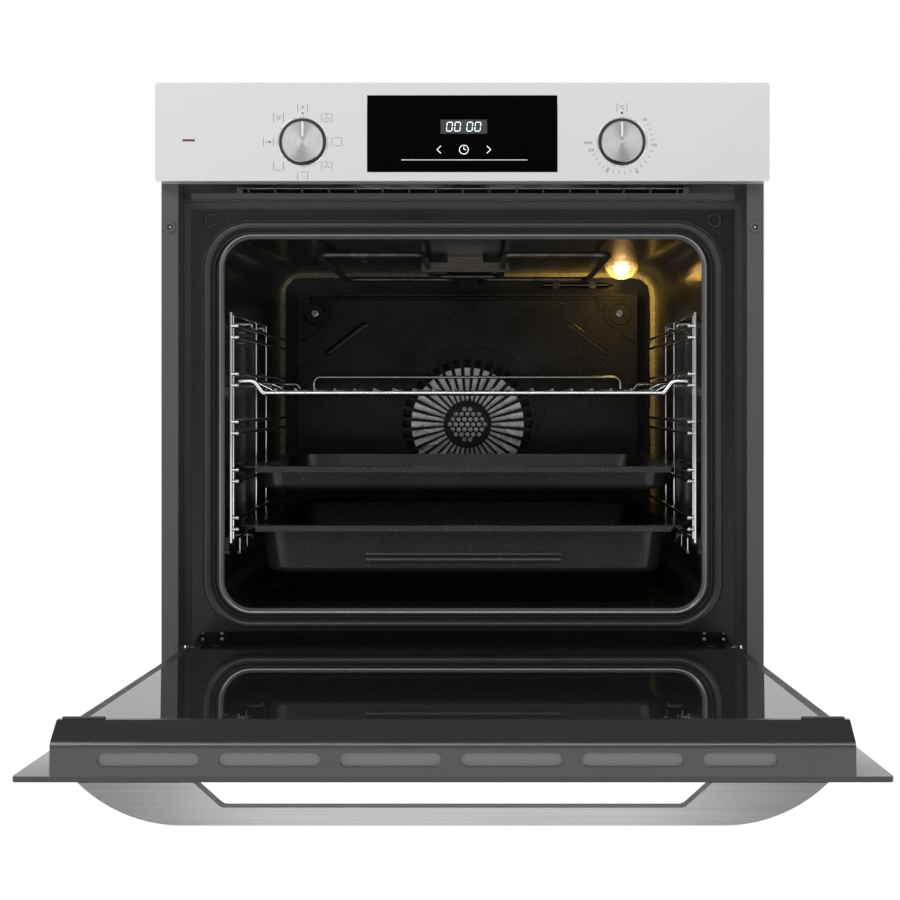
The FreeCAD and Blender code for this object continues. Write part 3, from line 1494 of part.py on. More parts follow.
def trim_mesh():
    """Insect mesh behind the trim's air slots."""
    y = glass_back + trim_face / 2
    half = mesh_width / 2
    top = door_top - trim_wall
    x0, x1 = -half_body + trim_slot_margin - 6, half_body - trim_last_margin + 13
    return box(x0, x1, y - half, y + half, top - mesh_thickness, top)


def handle():
    """Steel plate handle: straight grip, swept ends, one long finger opening."""
    y_glass = -front_depth
    y_edge = y_glass - handle_projection
    z0, z1 = door_top - handle_thickness, door_top
    end_radius = (handle_sweep**2 + handle_projection**2) / (2 * handle_projection)
    half_turn = math.asin(handle_sweep / end_radius) / 2
    arc_x = handle_straight + end_radius * math.sin(half_turn)
    arc_y = y_edge + end_radius * (1 - math.cos(half_turn))
    edges = []
    left_end = Vector(-handle_half_width, y_glass, z0)
    left_mid = Vector(-arc_x, arc_y, z0)
    left_tangent = Vector(-handle_straight, y_edge, z0)
    edges.append(Part.Arc(left_end, left_mid, left_tangent).toShape())
    right_tangent = Vector(handle_straight, y_edge, z0)
    edges.append(Part.LineSegment(left_tangent, right_tangent).toShape())
    right_mid = Vector(arc_x, arc_y, z0)
    right_end = Vector(handle_half_width, y_glass, z0)
    edges.append(Part.Arc(right_tangent, right_mid, right_end).toShape())
    edges.append(Part.LineSegment(right_end, left_end).toShape())
    plate = Part.Face(Part.Wire(edges)).extrude(Vector(0, 0, z1 - z0))
    y_bar = y_edge + handle_bar
    window_points = [
        Vector(-handle_window_top, y_glass + 1, z0 - 1),
        Vector(-handle_window_bottom, y_bar, z0 - 1),
        Vector(handle_window_bottom, y_bar, z0 - 1),
        Vector(handle_window_top, y_glass + 1, z0 - 1),
    ]
    window = Part.Face(Part.makePolygon(window_points + window_points[:1]))
    window = window.extrude(Vector(0, 0, handle_thickness + 2))
    corners = []
    for e in window.Edges:
        upright = abs(e.tangentAt(e.FirstParameter).z) > 0.99
        if upright and abs(e.CenterOfMass.y - y_bar) < 0.01:
            corners.append(e)
    window = window.makeFillet(handle_window_round, corners)
    plate = plate.cut(window)
    bores = [rod_y(1.6, x, handle_screw_z, y_glass - 11, y_glass + 1) for x in handle_screw_places]
    return plate.cut(group(bores))


def handle_screws():
    """Screws through the glass into the handle, with washers on the glass."""
    screws = []
    for x in handle_screw_places:
        screw = screw_y(x, handle_screw_z, glass_back, 4.6, 1.6, outer_glass_thickness + 9, 1)
        sleeve = ring_y(3.1, 1.6, x, handle_screw_z, -front_depth, glass_back)
        screws.append(screw.fuse(sleeve))
    return group(screws)


def hinge_body():
    """Right-hand hinge box in the door: two cheeks on a web, drilled for the pin."""
    gap = hinge_arm_thickness / 2 + hinge_side_gap
    low, high = door_rail_bottom, door_rail_bottom + hinge_box_height
    y0 = glass_back + door_rail_sheet
    y1 = door_inner_face - inner_glass_thickness - door_rail_sheet - 0.6
    web = box(hinge_centre_x - gap - hinge_cheek, hinge_centre_x + gap + hinge_cheek, y0, y0 + 2, low, high)
    cheeks = []
    for s in (-1, 1):
        x = hinge_centre_x + s * (gap + hinge_cheek / 2)
        cheeks.append(box(x - hinge_cheek / 2, x + hinge_cheek / 2, y0 + 2, y1, low, high))
    reach = gap + hinge_cheek + 1
    pin_start = Vector(hinge_centre_x - reach, hinge_y, hinge_z)
    pin_end = Vector(hinge_centre_x + reach, hinge_y, hinge_z)
    return web.fuse(cheeks).cut(rod(hinge_pin_radius, pin_start, pin_end))


def hinge_pin():
    """Pin pressed through the hinge box's cheeks."""
    reach = hinge_arm_thickness / 2 + hinge_side_gap + hinge_cheek
    return rod(
        hinge_pin_radius,
        Vector(hinge_centre_x - reach, hinge_y, hinge_z),
        Vector(hinge_centre_x + reach, hinge_y, hinge_z),
    )


def hinge_arm():
    """Right-hand flat arm, hooked into the receiver, with an eye round the pin."""
    half = hinge_arm_thickness / 2
    eye_radius = hinge_arm_height / 2
    x0, x1 = hinge_centre_x - half, hinge_centre_x + half
    low = hinge_z - eye_radius
    bar = box(x0, x1, hinge_y, receiver_back - 12, low, hinge_z + eye_radius)
    eye = rod(eye_radius, Vector(x0, hinge_y, hinge_z), Vector(x1, hinge_y, hinge_z))
    hook = box(x0, x1, receiver_back - 20, receiver_back - 12, low - 7, low)
    hole = rod(
        hinge_pin_radius + pin_running_gap,
        Vector(x0 - 1, hinge_y, hinge_z),
        Vector(x1 + 1, hinge_y, hinge_z),
    )
    return bar.fuse([eye, hook]).cut(hole)


def hinge_receiver():
    """Right-hand steel box in the carcass that holds the hinge arm."""
    gap = hinge_arm_thickness / 2 + receiver_gap
    wall = receiver_wall
    x0, x1 = hinge_centre_x - gap - wall, hinge_centre_x + gap + wall
    z0, z1 = hinge_z - 18, hinge_z + hinge_arm_height / 2 + 3
    block = box(x0, x1, receiver_front, receiver_back, z0, z1)
    hollow = box(x0 + wall, x1 - wall, receiver_front - 1, receiver_back - wall, z0 + wall, z1 - wall)
    foot = box(x0 - 6, x1 + 6, receiver_front, receiver_back, sheet + 0.2, sheet + 0.2 + wall)
    legs = [box(x, x + wall, receiver_front, receiver_back, sheet + 0.2, z0) for x in (x0, x1 - wall)]
    roller_y = receiver_front + 2 * receiver_roller
    roller_z = z0 + wall + receiver_roller + 1.4
    roller = rod(receiver_roller, Vector(x0 + 1, roller_y, roller_z), Vector(x1 - 1, roller_y, roller_z))
    return block.cut(hollow).fuse([foot, roller] + legs)


# ---------------------------------------------------------------- writing the pieces
def both_sides(shape):
    """A right-hand piece and its mirror image, in one node."""
    return group([shape, mirror_x(shape)])


housing = {
    "base_plate": base_plate(),
    "side_panels": both_sides(side_panel()),
    "top_cover": top_cover(),
    "back_cover": back_cover(),
    "back_screws": back_screws(),
    "cable_inlet": cable_inlet(),
    "terminal_block": terminal_block(),
    "front_frame": front_frame(),
    "lower_panel": lower_panel(),
    "cavity_liner": cavity_liner(),
    "door_gasket": door_gasket(),
    "insulation": insulation(),
    "air_duct": air_duct(),
    "outlet_grille": outlet_grille(),
    "blower_housing": blower_housing(),
    "blower_motor": blower_motor(),
    "blower_wheel": blower_wheel(),
    "fan_cover": fan_cover(),
    "cavity_fasteners": cavity_fasteners(),
    "convection_fan": convection_fan(),
    "convection_motor": convection_motor(),
    "ring_heater": ring_heater(),
    "grill_element": grill_element(),
    "element_brackets": element_brackets(),
    "lower_element": lower_element(),
    "temperature_probe": temperature_probe(),
    "lamp_socket": lamp_socket(),
    "lamp_bulb": lamp_bulb(),
    "lamp_glass": lamp_glass(),
    "side_racks": both_sides(side_rack()),
    "wire_shelf": wire_shelf(),
    "shallow_tray": shallow_tray(),
    "deep_tray": deep_tray(),
    "control_fascia": control_fascia(),
    "knob_wells": knob_wells(),
    "knob_bezels": knob_bezels(),
    "display_glass": display_glass(),
    "display_module": display_module(),
    "pilot_lamp": pilot_lamp(),
    "control_bracket": control_bracket(),
    "function_switch": function_switch(),
    "thermostat": thermostat(),
    "hinge_receivers": both_sides(hinge_receiver()),
    "hinge_arms": both_sides(hinge_arm()),
}
for control, x in (("function", -knob_x), ("thermostat", knob_x)):
    housing[control + "_spindle"] = spindle(x)
    housing[control + "_knob"] = knob_body(x)
    housing[control + "_knob_face"] = group([knob_face(x), knob_pointer(x)])

door = {
    "outer_glass": outer_glass(),
    "middle_glass": middle_glass(),
    "inner_glass": inner_glass(),
    "door_rails": group([door_rail(), mirror_x(door_rail()), door_bottom_rail()] + glass_holders()),
    "door_trim": door_trim(),
    "trim_mesh": trim_mesh(),
    "handle": handle(),
    "handle_screws": handle_screws(),
    "hinge_bodies": both_sides(hinge_body()),
    "hinge_pins": both_sides(hinge_pin()),
}

for name, shape in housing.items():
    save(name, shape)
for name, shape in door.items():
    save_door(name, shape)
print(len(housing) + len(door), "nodes")
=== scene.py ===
# %% [markdown]
# # A built-in oven with its door open
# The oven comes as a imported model: sixty named pieces that ride on eleven moving bodies.
# This lesson gives each piece its finish, adds the small pieces and prints that give the
# oven its look, and sets up a plain studio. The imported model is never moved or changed.
# It is loaded first, because every place below is worked out from its pieces.

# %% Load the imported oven
import json
import math

import bmesh
import bpy
from mathutils import Matrix, Vector, noise


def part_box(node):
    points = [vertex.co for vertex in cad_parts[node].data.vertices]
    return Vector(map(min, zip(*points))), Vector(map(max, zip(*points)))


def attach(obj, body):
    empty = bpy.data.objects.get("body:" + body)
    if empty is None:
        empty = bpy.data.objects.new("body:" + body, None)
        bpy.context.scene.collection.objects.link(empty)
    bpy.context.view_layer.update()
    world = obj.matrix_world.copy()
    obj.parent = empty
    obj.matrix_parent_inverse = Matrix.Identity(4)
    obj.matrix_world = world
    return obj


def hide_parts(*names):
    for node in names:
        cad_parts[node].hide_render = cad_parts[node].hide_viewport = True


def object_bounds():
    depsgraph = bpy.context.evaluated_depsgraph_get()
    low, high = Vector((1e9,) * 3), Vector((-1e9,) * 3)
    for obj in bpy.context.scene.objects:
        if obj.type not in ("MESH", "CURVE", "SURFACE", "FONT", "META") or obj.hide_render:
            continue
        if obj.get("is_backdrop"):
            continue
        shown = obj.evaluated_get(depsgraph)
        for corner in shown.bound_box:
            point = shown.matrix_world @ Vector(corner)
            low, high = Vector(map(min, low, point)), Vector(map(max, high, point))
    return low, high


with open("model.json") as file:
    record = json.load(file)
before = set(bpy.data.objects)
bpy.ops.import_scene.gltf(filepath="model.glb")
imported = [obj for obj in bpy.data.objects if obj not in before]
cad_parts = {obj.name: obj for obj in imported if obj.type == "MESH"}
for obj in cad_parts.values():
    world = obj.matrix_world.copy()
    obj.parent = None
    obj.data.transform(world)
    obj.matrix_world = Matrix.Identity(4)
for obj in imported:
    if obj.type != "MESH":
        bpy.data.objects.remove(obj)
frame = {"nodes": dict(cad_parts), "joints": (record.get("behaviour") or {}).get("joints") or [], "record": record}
cad_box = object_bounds()
nodes = frame["nodes"]
slot_of = {part["node"]: part["material_slot"] for part in frame["record"]["subparts"]}
MM = 0.001


def show(name, data):
    """A new object in the scene."""
    made = bpy.data.objects.new(name, data)
    bpy.context.scene.collection.objects.link(made)
    return made


# %% [markdown]
# ## The camera
# The oven is seen from straight in front, a little above the open door, from the distance
# of a person who is about to put a tray in. The small lens shift keeps the upright edges
# upright, which tilting the camera would not do, so the camera looks level along +Y.

# %% Camera
camera_data = bpy.data.cameras.new("camera")
camera_data.lens = 61.8
camera_data.sensor_width = 36.0
camera_data.shift_x = -0.0378
camera_data.shift_y = -0.0570
camera = show("camera", camera_data)
camera.location = (0.021, -1.517, 0.289)
camera.rotation_euler = (math.radians(90), 0, 0)
bpy.context.scene.camera = camera
bpy.context.scene.view_settings.view_transform = "Standard"
print("camera", [round(v, 3) for v in camera.location])

# %% [markdown]
# ## Node helpers
# A node tree is long when each link is written out. These helpers make one node per line:
# a plain value sets a socket, and another node's output is linked to it.


# %% Node helpers
def node(tree, kind, inputs=None, **settings):
    """A new node, its settings and its sockets."""
    made = tree.nodes.new(kind)
    for name, value in settings.items():
        setattr(made, name, value)
    for name, value in (inputs or {}).items():
        socket = made.inputs[name]
        if isinstance(value, bpy.types.NodeSocket):
            tree.links.new(value, socket)
        else:
            socket.default_value = value
    return made


def math_node(tree, operation, first, second=0.0):
    """The result of one sum, product, power and so on."""
    sockets = {0: first, 1: second}
    return node(tree, "ShaderNodeMath", sockets, operation=operation).outputs[0]


def vector_node(tree, operation, *values):
    """The result of one sum, product, length and so on of vectors."""
    made = node(tree, "ShaderNodeVectorMath", dict(enumerate(values)), operation=operation)
    return made.outputs["Value" if operation in ("LENGTH", "DOT_PRODUCT") else "Vector"]


def along_axes(tree, vector):
    """The X, Y and Z of a vector."""
    return node(tree, "ShaderNodeSeparateXYZ", {0: vector}).outputs


def spread(tree, value, low, high, to_low=0.0, to_high=1.0):
    """A value between low and high, spread smoothly over another range."""
    sockets = {"Value": value, "From Min": low, "From Max": high, "To Min": to_low, "To Max": to_high}
    return node(tree, "ShaderNodeMapRange", sockets, interpolation_type="SMOOTHSTEP").outputs["Result"]


def blend_colours(tree, factor, first, second):
    """One colour where the factor is 0 and another where it is 1."""
    made = node(tree, "ShaderNodeMix", data_type="RGBA")
    for index, value in ((0, factor), (6, first), (7, second)):
        if isinstance(value, bpy.types.NodeSocket):
            tree.links.new(value, made.inputs[index])
        elif index == 0:
            made.inputs[index].default_value = value
        else:
            made.inputs[index].default_value = (*value[:3], 1.0)
    return made.outputs[2]


def grey(value, warmth=0.0):
    """A grey, a little warmer or cooler."""
    return (value * (1 + warmth), value, value * (1 - warmth))


print("helpers ready")

# %% [markdown]
# ## Shared surface effects
# Real surfaces are never one even value. Each effect below is a node group, so that every
# material can use it at its own scale: a thin uneven film on gloss, white flecks in enamel,
# long lines in brushed steel, rings on a turned face, a woven mesh, fibres in wool, and
# light wear on edges. A group gives out only values; the shader stays in the material.


# %% Effect groups
def new_group(name, inputs, outputs):
    """An empty shader group with named sockets, and its two ends."""
    tree = bpy.data.node_groups.new(name, "ShaderNodeTree")
    for socket, default in inputs.items():
        kind = "NodeSocketVector" if isinstance(default, tuple) else "NodeSocketFloat"
        made = tree.interface.new_socket(socket, in_out="INPUT", socket_type=kind)
        made.default_value = default
    for socket in outputs:
        kind = "NodeSocketVector" if socket == "Normal" else "NodeSocketFloat"
        tree.interface.new_socket(socket, in_out="OUTPUT", socket_type=kind)
    ends = tree.nodes.new("NodeGroupInput"), tree.nodes.new("NodeGroupOutput")
    return tree, ends[0].outputs, ends[1].inputs


def own_place(tree):
    """Where a point is on its own piece, in metres."""
    return node(tree, "ShaderNodeTexCoord").outputs["Object"]


def cloud(tree, scale, detail, vector=None, **sockets):
    """Soft noise over a piece, from 0 to 1."""
    sockets.update({"Vector": vector or own_place(tree), "Scale": scale, "Detail": detail})
    return node(tree, "ShaderNodeTexNoise", sockets).outputs["Fac"]


def make_film():
    """Uneven film and handling marks: a value between Low and High."""
    tree, given, wanted = new_group("surface_film", {"Scale": 30.0, "Low": 0.2, "High": 0.3}, ["Value"])
    broad = cloud(tree, given["Scale"], 5.0, Roughness=0.62)
    grain = cloud(tree, math_node(tree, "MULTIPLY", given["Scale"], 9.0), 2.0)
    both = math_node(tree, "MULTIPLY_ADD", grain, 0.35)
    tree.links.new(broad, both.node.inputs[2])
    sockets = {"Value": spread(tree, both, 0.42, 0.92), "To Min": given["Low"], "To Max": given["High"]}
    made = node(tree, "ShaderNodeMapRange", sockets)
    tree.links.new(made.outputs["Result"], wanted["Value"])
    return tree


def make_flecks():
    """White flecks of fired enamel, each of its own size, and a faint orange-peel height."""
    tree, given, wanted = new_group("enamel_flecks", {"Scale": 420.0, "Share": 0.1}, ["Mask", "Height"])
    sockets = {"Vector": own_place(tree), "Scale": given["Scale"]}
    cells = node(tree, "ShaderNodeTexVoronoi", sockets)
    pick = node(tree, "ShaderNodeSeparateColor", {0: cells.outputs["Color"]}).outputs
    radius = math_node(tree, "MULTIPLY", pick[1], 0.30)
    near = math_node(tree, "LESS_THAN", cells.outputs["Distance"], radius)
    chosen = math_node(tree, "LESS_THAN", pick[0], given["Share"])
    strength = math_node(tree, "MULTIPLY", near, pick[2])
    tree.links.new(math_node(tree, "MULTIPLY", strength, chosen), wanted["Mask"])
    tree.links.new(cloud(tree, 160.0, 2.0), wanted["Height"])
    return tree


def make_brushed():
    """Long fine lines of a brushed face. Lines is how often they change along X, Y and Z."""
    lines = {"Lines": (4.0, 2500.0, 2500.0)}
    tree, given, wanted = new_group("brushed_lines", lines, ["Tone", "Height"])
    long_lines = cloud(tree, 1.0, 3.0, vector_node(tree, "MULTIPLY", own_place(tree), given["Lines"]))
    tone = math_node(tree, "MULTIPLY_ADD", long_lines, 0.75)
    tree.links.new(math_node(tree, "MULTIPLY", cloud(tree, 14.0, 4.0), 0.25), tone.node.inputs[2])
    tree.links.new(tone, wanted["Tone"])
    tree.links.new(long_lines, wanted["Height"])
    return tree


def make_turned():
    """Fine rings of a lathe-turned face about a centre, looking along Y."""
    inputs = {"Centre": (0.0, 0.0, 0.0), "Rings": 4000.0}
    tree, given, wanted = new_group("turned_rings", inputs, ["Tone", "Height"])
    away = vector_node(tree, "SUBTRACT", own_place(tree), given["Centre"])
    radius = vector_node(tree, "LENGTH", vector_node(tree, "MULTIPLY", away, (1.0, 0.0, 1.0)))
    ring = math_node(tree, "MULTIPLY", radius, given["Rings"])
    sockets = {"W": ring, "Scale": 1.0, "Detail": 2.0}
    lines = node(tree, "ShaderNodeTexNoise", sockets, noise_dimensions="1D").outputs["Fac"]
    tree.links.new(spread(tree, lines, 0.3, 0.7), wanted["Tone"])
    tree.links.new(lines, wanted["Height"])
    return tree


def make_weave():
    """Two crossed sets of round wires, slanting as the cloth is cut."""
    tree, given, wanted = new_group("woven_mesh", {"Pitch": 900.0}, ["Tone", "Height"])
    slanting = {"Vector": own_place(tree), "Rotation": (0.0, 0.7, 0.0)}
    parts = along_axes(tree, node(tree, "ShaderNodeMapping", slanting).outputs[0])
    waves = []
    for axis in (0, 2):
        turns = math_node(tree, "MULTIPLY", parts[axis], given["Pitch"])
        waves.append(math_node(tree, "ABSOLUTE", math_node(tree, "SINE", turns)))
    height = math_node(tree, "MAXIMUM", waves[0], waves[1])
    tree.links.new(height, wanted["Height"])
    tree.links.new(spread(tree, height, 0.35, 0.9), wanted["Tone"])
    return tree


def make_fibres():
    """Tangled fibres of pressed wool."""
    tree, given, wanted = new_group("wool_fibres", {"Scale": 160.0}, ["Tone", "Height"])
    drawn_out = vector_node(tree, "MULTIPLY", own_place(tree), (1.0, 0.22, 1.0))
    strands = cloud(tree, given["Scale"], 6.0, drawn_out, Distortion=2.4)
    tree.links.new(spread(tree, strands, 0.35, 0.65), wanted["Tone"])
    tree.links.new(strands, wanted["Height"])
    return tree


def make_edges():
    """Where a surface is close to a sharp edge, and the normal of that edge made round."""
    tree, given, wanted = new_group("worn_edges", {"Reach": 0.0006}, ["Mask", "Normal"])
    bevel = node(tree, "ShaderNodeBevel", {"Radius": given["Reach"]}, samples=4)
    plain = node(tree, "ShaderNodeNewGeometry").outputs["Normal"]
    same = vector_node(tree, "DOT_PRODUCT", bevel.outputs["Normal"], plain)
    tree.links.new(spread(tree, same, 0.98, 0.8), wanted["Mask"])
    tree.links.new(bevel.outputs["Normal"], wanted["Normal"])
    return tree


film, flecks, brushed, turned = make_film(), make_flecks(), make_brushed(), make_turned()
weave, fibres, edges = make_weave(), make_fibres(), make_edges()
print(len(bpy.data.node_groups), "effect groups")

# %% [markdown]
# ## Material kit
# Every finish starts from the same three things: a Principled shader with its fixed values
# set on its own sockets, a film that makes the roughness uneven, and a height that the Bump
# node turns into a normal. Each function below is one family of finishes.

# %% Material kit
materials = {}


def place_group(tree, group, **values):
    """A shared effect inside a material."""
    made = tree.nodes.new("ShaderNodeGroup")
    made.node_tree = group
    for name, value in values.items():
        made.inputs[name].default_value = value
    return made.outputs


def start_material(name, colour, metallic=0.0, **sockets):
    """A new material with its Principled shader."""
    material = bpy.data.materials.new(name)
    material.use_nodes = True
    tree = material.node_tree
    shader = tree.nodes["Principled BSDF"]
    shader.inputs["Base Color"].default_value = (*colour, 1.0)
    shader.inputs["Metallic"].default_value = metallic
    for socket, value in sockets.items():
        shader.inputs[socket.replace("_", " ")].default_value = value
    materials[name] = material
    return tree, shader


def uneven_roughness(tree, shader, low, high, scale=30.0):
    """Roughness between two values, as a film or light handling gives."""
    value = place_group(tree, film, Scale=scale, Low=low, High=high)["Value"]
    paint(tree, shader, value, "Roughness")


def paint(tree, shader, colour, socket="Base Color"):
    """Colour, or another value, that changes over the surface."""
    tree.links.new(colour, shader.inputs[socket])


def raise_surface(tree, shader, height, distance, strength=0.5, normal=None):
    """A bump of a real depth in metres."""
    bump = node(tree, "ShaderNodeBump", {"Height": height, "Distance": distance, "Strength": strength})
    if normal is not None:
        tree.links.new(normal, bump.inputs["Normal"])
    tree.links.new(bump.outputs["Normal"], shader.inputs["Normal"])


def painted(name, colour, low, high, peel=0.00003, wear=1.5, **sockets):
    """Sprayed or powder-coated metal, with orange peel and slightly lighter worn edges."""
    tree, shader = start_material(name, colour, **sockets)
    uneven_roughness(tree, shader, low, high)
    worn = place_group(tree, edges, Reach=0.0007)
    lighter = tuple(min(1.0, c * wear + 0.01) for c in colour)
    paint(tree, shader, blend_colours(tree, worn["Mask"], colour, lighter))
    raise_surface(tree, shader, cloud(tree, 900.0, 2.0), peel, 0.4, worn["Normal"])
    return tree, shader


def enamel(name, colour, share, low, high, fleck=0.5, **sockets):
    """Glassy enamel fired on sheet steel, with white flecks and a soft orange peel."""
    tree, shader = start_material(name, colour, **sockets)
    uneven_roughness(tree, shader, low, high, 18.0)
    speck = place_group(tree, flecks, Scale=640.0, Share=share)
    light = math_node(tree, "MULTIPLY", speck["Mask"], fleck)
    paint(tree, shader, blend_colours(tree, light, colour, (0.8, 0.8, 0.78)))
    worn = place_group(tree, edges, Reach=0.0009)
    raise_surface(tree, shader, speck["Height"], 0.00012, 0.35, worn["Normal"])
    return tree, shader


def brushed_metal(name, colour, low, high, lines, depth=0.00002, contrast=0.16, **sockets):
    """Metal with long lines: the tone, the roughness and the height follow them."""
    tree, shader = start_material(name, colour, metallic=1.0, **sockets)
    grain = place_group(tree, brushed, Lines=lines)
    dark = tuple(c * (1 - contrast) for c in colour)
    light = tuple(min(1.0, c * (1 + contrast)) for c in colour)
    paint(tree, shader, blend_colours(tree, spread(tree, grain["Tone"], 0.3, 0.7), dark, light))
    paint(tree, shader, spread(tree, grain["Tone"], 0.2, 0.8, low, high), "Roughness")
    worn = place_group(tree, edges, Reach=0.0005)
    raise_surface(tree, shader, grain["Height"], depth, 0.5, worn["Normal"])
    return tree, shader


def moulded(name, colour, low, high, grain=1400.0, depth=0.00004, **sockets):
    """Moulded plastic, rubber or ceramic with the fine grain of its mould."""
    tree, shader = start_material(name, colour, **sockets)
    uneven_roughness(tree, shader, low, high, 60.0)
    worn = place_group(tree, edges, Reach=0.0005)
    lighter = tuple(min(1.0, c * 1.4 + 0.008) for c in colour)
    paint(tree, shader, blend_colours(tree, worn["Mask"], colour, lighter))
    raise_surface(tree, shader, cloud(tree, grain, 3.0), depth, 0.4, worn["Normal"])
    return tree, shader


print("material kit ready")

# %% [markdown]
# ## Painted, enamelled and moulded finishes
# The front panel is a thick glossy light coat. The frame, the door's trim and the door's
# rails wear a dark satin powder. The cavity, its rear panel and the trays are enamelled in
# near black with white flecks, which is why dirt hardly shows on them.

# %% Paint, enamel and plastic
painted("pearl_panel", grey(0.70), 0.10, 0.17, 0.00001, 1.1, Coat_Weight=0.6, Coat_Roughness=0.04)
painted("grey_paint", grey(0.060), 0.34, 0.44)
painted("trim_paint", grey(0.024), 0.20, 0.27, Specular_IOR_Level=0.8)
painted("dark_steel", grey(0.022), 0.38, 0.5)
enamel("dark_enamel", grey(0.011), 0.10, 0.16, 0.26, 0.28, Specular_IOR_Level=0.27)
enamel("tray_enamel", grey(0.019), 0.16, 0.16, 0.26, 0.3, Specular_IOR_Level=0.36)
# A lighter, half-metallic copy of the dark enamel: painted highlight on the mouth's rolled edge.
enamel("painted_highlight_enamel", grey(0.20), 0.12, 0.14, 0.22, 0.3, metallic=0.45)
moulded("black_plastic", grey(0.010), 0.36, 0.5)
moulded("black_seal", grey(0.008), 0.34, 0.46, 500.0, Sheen_Weight=0.15)
moulded("switch_plastic", grey(0.62, 0.05), 0.4, 0.52)
moulded("white_ceramic", grey(0.72, 0.03), 0.6, 0.8, 700.0)
moulded("pilot_lens", (0.20, 0.012, 0.006), 0.12, 0.2, 300.0)
print(len(materials), "materials so far")

# %% [markdown]
# ## Metals
# Zinc-coated sheet has broad pale crystals, so its tone comes from cell noise. Chromed wire
# is almost a mirror. The handle is brushed along its length; painted shade darkens its wings.
# The heater tubes have gone dark and blotchy from heat, and so has bright steel in the oven.


# %% Metals
def galvanised_sheet():
    """Zinc-coated sheet with a faint spangle."""
    tree, shader = start_material("galvanised", grey(0.52), metallic=1.0)
    cells = node(tree, "ShaderNodeTexVoronoi", {"Vector": own_place(tree), "Scale": 110.0})
    pick = node(tree, "ShaderNodeSeparateColor", {0: cells.outputs["Color"]}).outputs[0]
    paint(tree, shader, blend_colours(tree, pick, grey(0.47), grey(0.57)))
    paint(tree, shader, spread(tree, pick, 0.0, 1.0, 0.32, 0.46), "Roughness")
    worn = place_group(tree, edges, Reach=0.0005)
    raise_surface(tree, shader, cloud(tree, 260.0, 3.0), 0.00005, 0.3, worn["Normal"])


def heat_stained(name, dark, light, low, high):
    """Steel tube stained by heat: blotches of two tones."""
    tree, shader = start_material(name, dark, metallic=0.85)
    blotch = spread(tree, cloud(tree, 38.0, 6.0, Roughness=0.7), 0.38, 0.66)
    paint(tree, shader, blend_colours(tree, blotch, dark, light))
    uneven_roughness(tree, shader, low, high, 90.0)
    raise_surface(tree, shader, cloud(tree, 2200.0, 2.0), 0.00003, 0.3)


galvanised_sheet()
heat_stained("heater_steel", grey(0.07, 0.08), grey(0.16, 0.12), 0.3, 0.46)
brushed_metal("chrome_wire", grey(0.62), 0.06, 0.16, (900.0, 900.0, 900.0), 0.000008, 0.08)
brushed_metal("chrome_ring", grey(0.80), 0.05, 0.12, (600.0, 600.0, 600.0), 0.000005, 0.05)
tree, shader = brushed_metal("bright_steel", grey(0.60), 0.22, 0.36, (30.0, 900.0, 900.0))
place = along_axes(tree, own_place(tree))
deep, high_up = spread(tree, place[1], 0.150, 0.155), spread(tree, place[2], 0.400, 0.405)
clean = shader.inputs["Base Color"].links[0].from_socket
heated = math_node(tree, "MULTIPLY", deep, high_up)
paint(tree, shader, blend_colours(tree, heated, clean, grey(0.10, 0.10)))
brushed_metal("zinc_screw", grey(0.60, 0.03), 0.26, 0.4, (700.0, 700.0, 700.0))
brushed_metal("motor_steel", grey(0.36), 0.34, 0.5, (60.0, 500.0, 60.0))
brushed_metal("fan_aluminium", grey(0.80), 0.24, 0.36, (120.0, 400.0, 120.0), 0.00003)
long_lines = (5.0, 2600.0, 2600.0)
tree, shader = brushed_metal("brushed_handle", grey(0.46), 0.24, 0.36, long_lines, 0.00002, 0.14)
# Painted shade: the handle's wings are made darker by their place along X.
wing_painted_shade = spread(tree, math_node(tree, "ABSOLUTE", along_axes(tree, own_place(tree))[0]), 0.10, 0.25)
lines = shader.inputs["Base Color"].links[0].from_socket
painted_shade_tone = vector_node(tree, "MULTIPLY", lines, grey(0.46))
paint(tree, shader, blend_colours(tree, wing_painted_shade, lines, painted_shade_tone))
print(len(materials), "materials so far")

# %% [markdown]
# ## The turned knob faces
# A turned face shows two bright wedges, because its fine rings spread the light across
# them. The shader does this with anisotropy about a tangent that runs round each centre.
# The centre differs from knob to knob, so each gets its own material from one function.


# %% Turned faces
def turned_face(name, centre):
    """Turned aluminium about one knob's centre."""
    tree, shader = start_material(name, grey(0.5), metallic=1.0, Anisotropic=0.85)
    rings = place_group(tree, turned, Centre=centre, Rings=5200.0)
    paint(tree, shader, blend_colours(tree, rings["Tone"], grey(0.42), grey(0.56)))
    paint(tree, shader, spread(tree, rings["Tone"], 0.0, 1.0, 0.20, 0.28), "Roughness")
    away = vector_node(tree, "SUBTRACT", own_place(tree), centre)
    around = vector_node(tree, "CROSS_PRODUCT", away, (0.0, 1.0, 0.0))
    turn = node(tree, "ShaderNodeVectorTransform", {0: around}, vector_type="VECTOR")
    turn.convert_from, turn.convert_to = "OBJECT", "WORLD"
    paint(tree, shader, turn.outputs[0], "Tangent")
    raise_surface(tree, shader, rings["Height"], 0.000004, 0.4)


face_nodes = ("function_knob_face", "thermostat_knob_face")
for face in face_nodes:
    low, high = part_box(face)
    turned_face(face, tuple((low + high) / 2))
moulded("pointer_white", grey(0.86), 0.3, 0.4)
face_centres = [sum(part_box(f), Vector()) / 2 for f in face_nodes]
print("turned faces at", [tuple(round(v / MM, 1) for v in centre) for centre in face_centres])
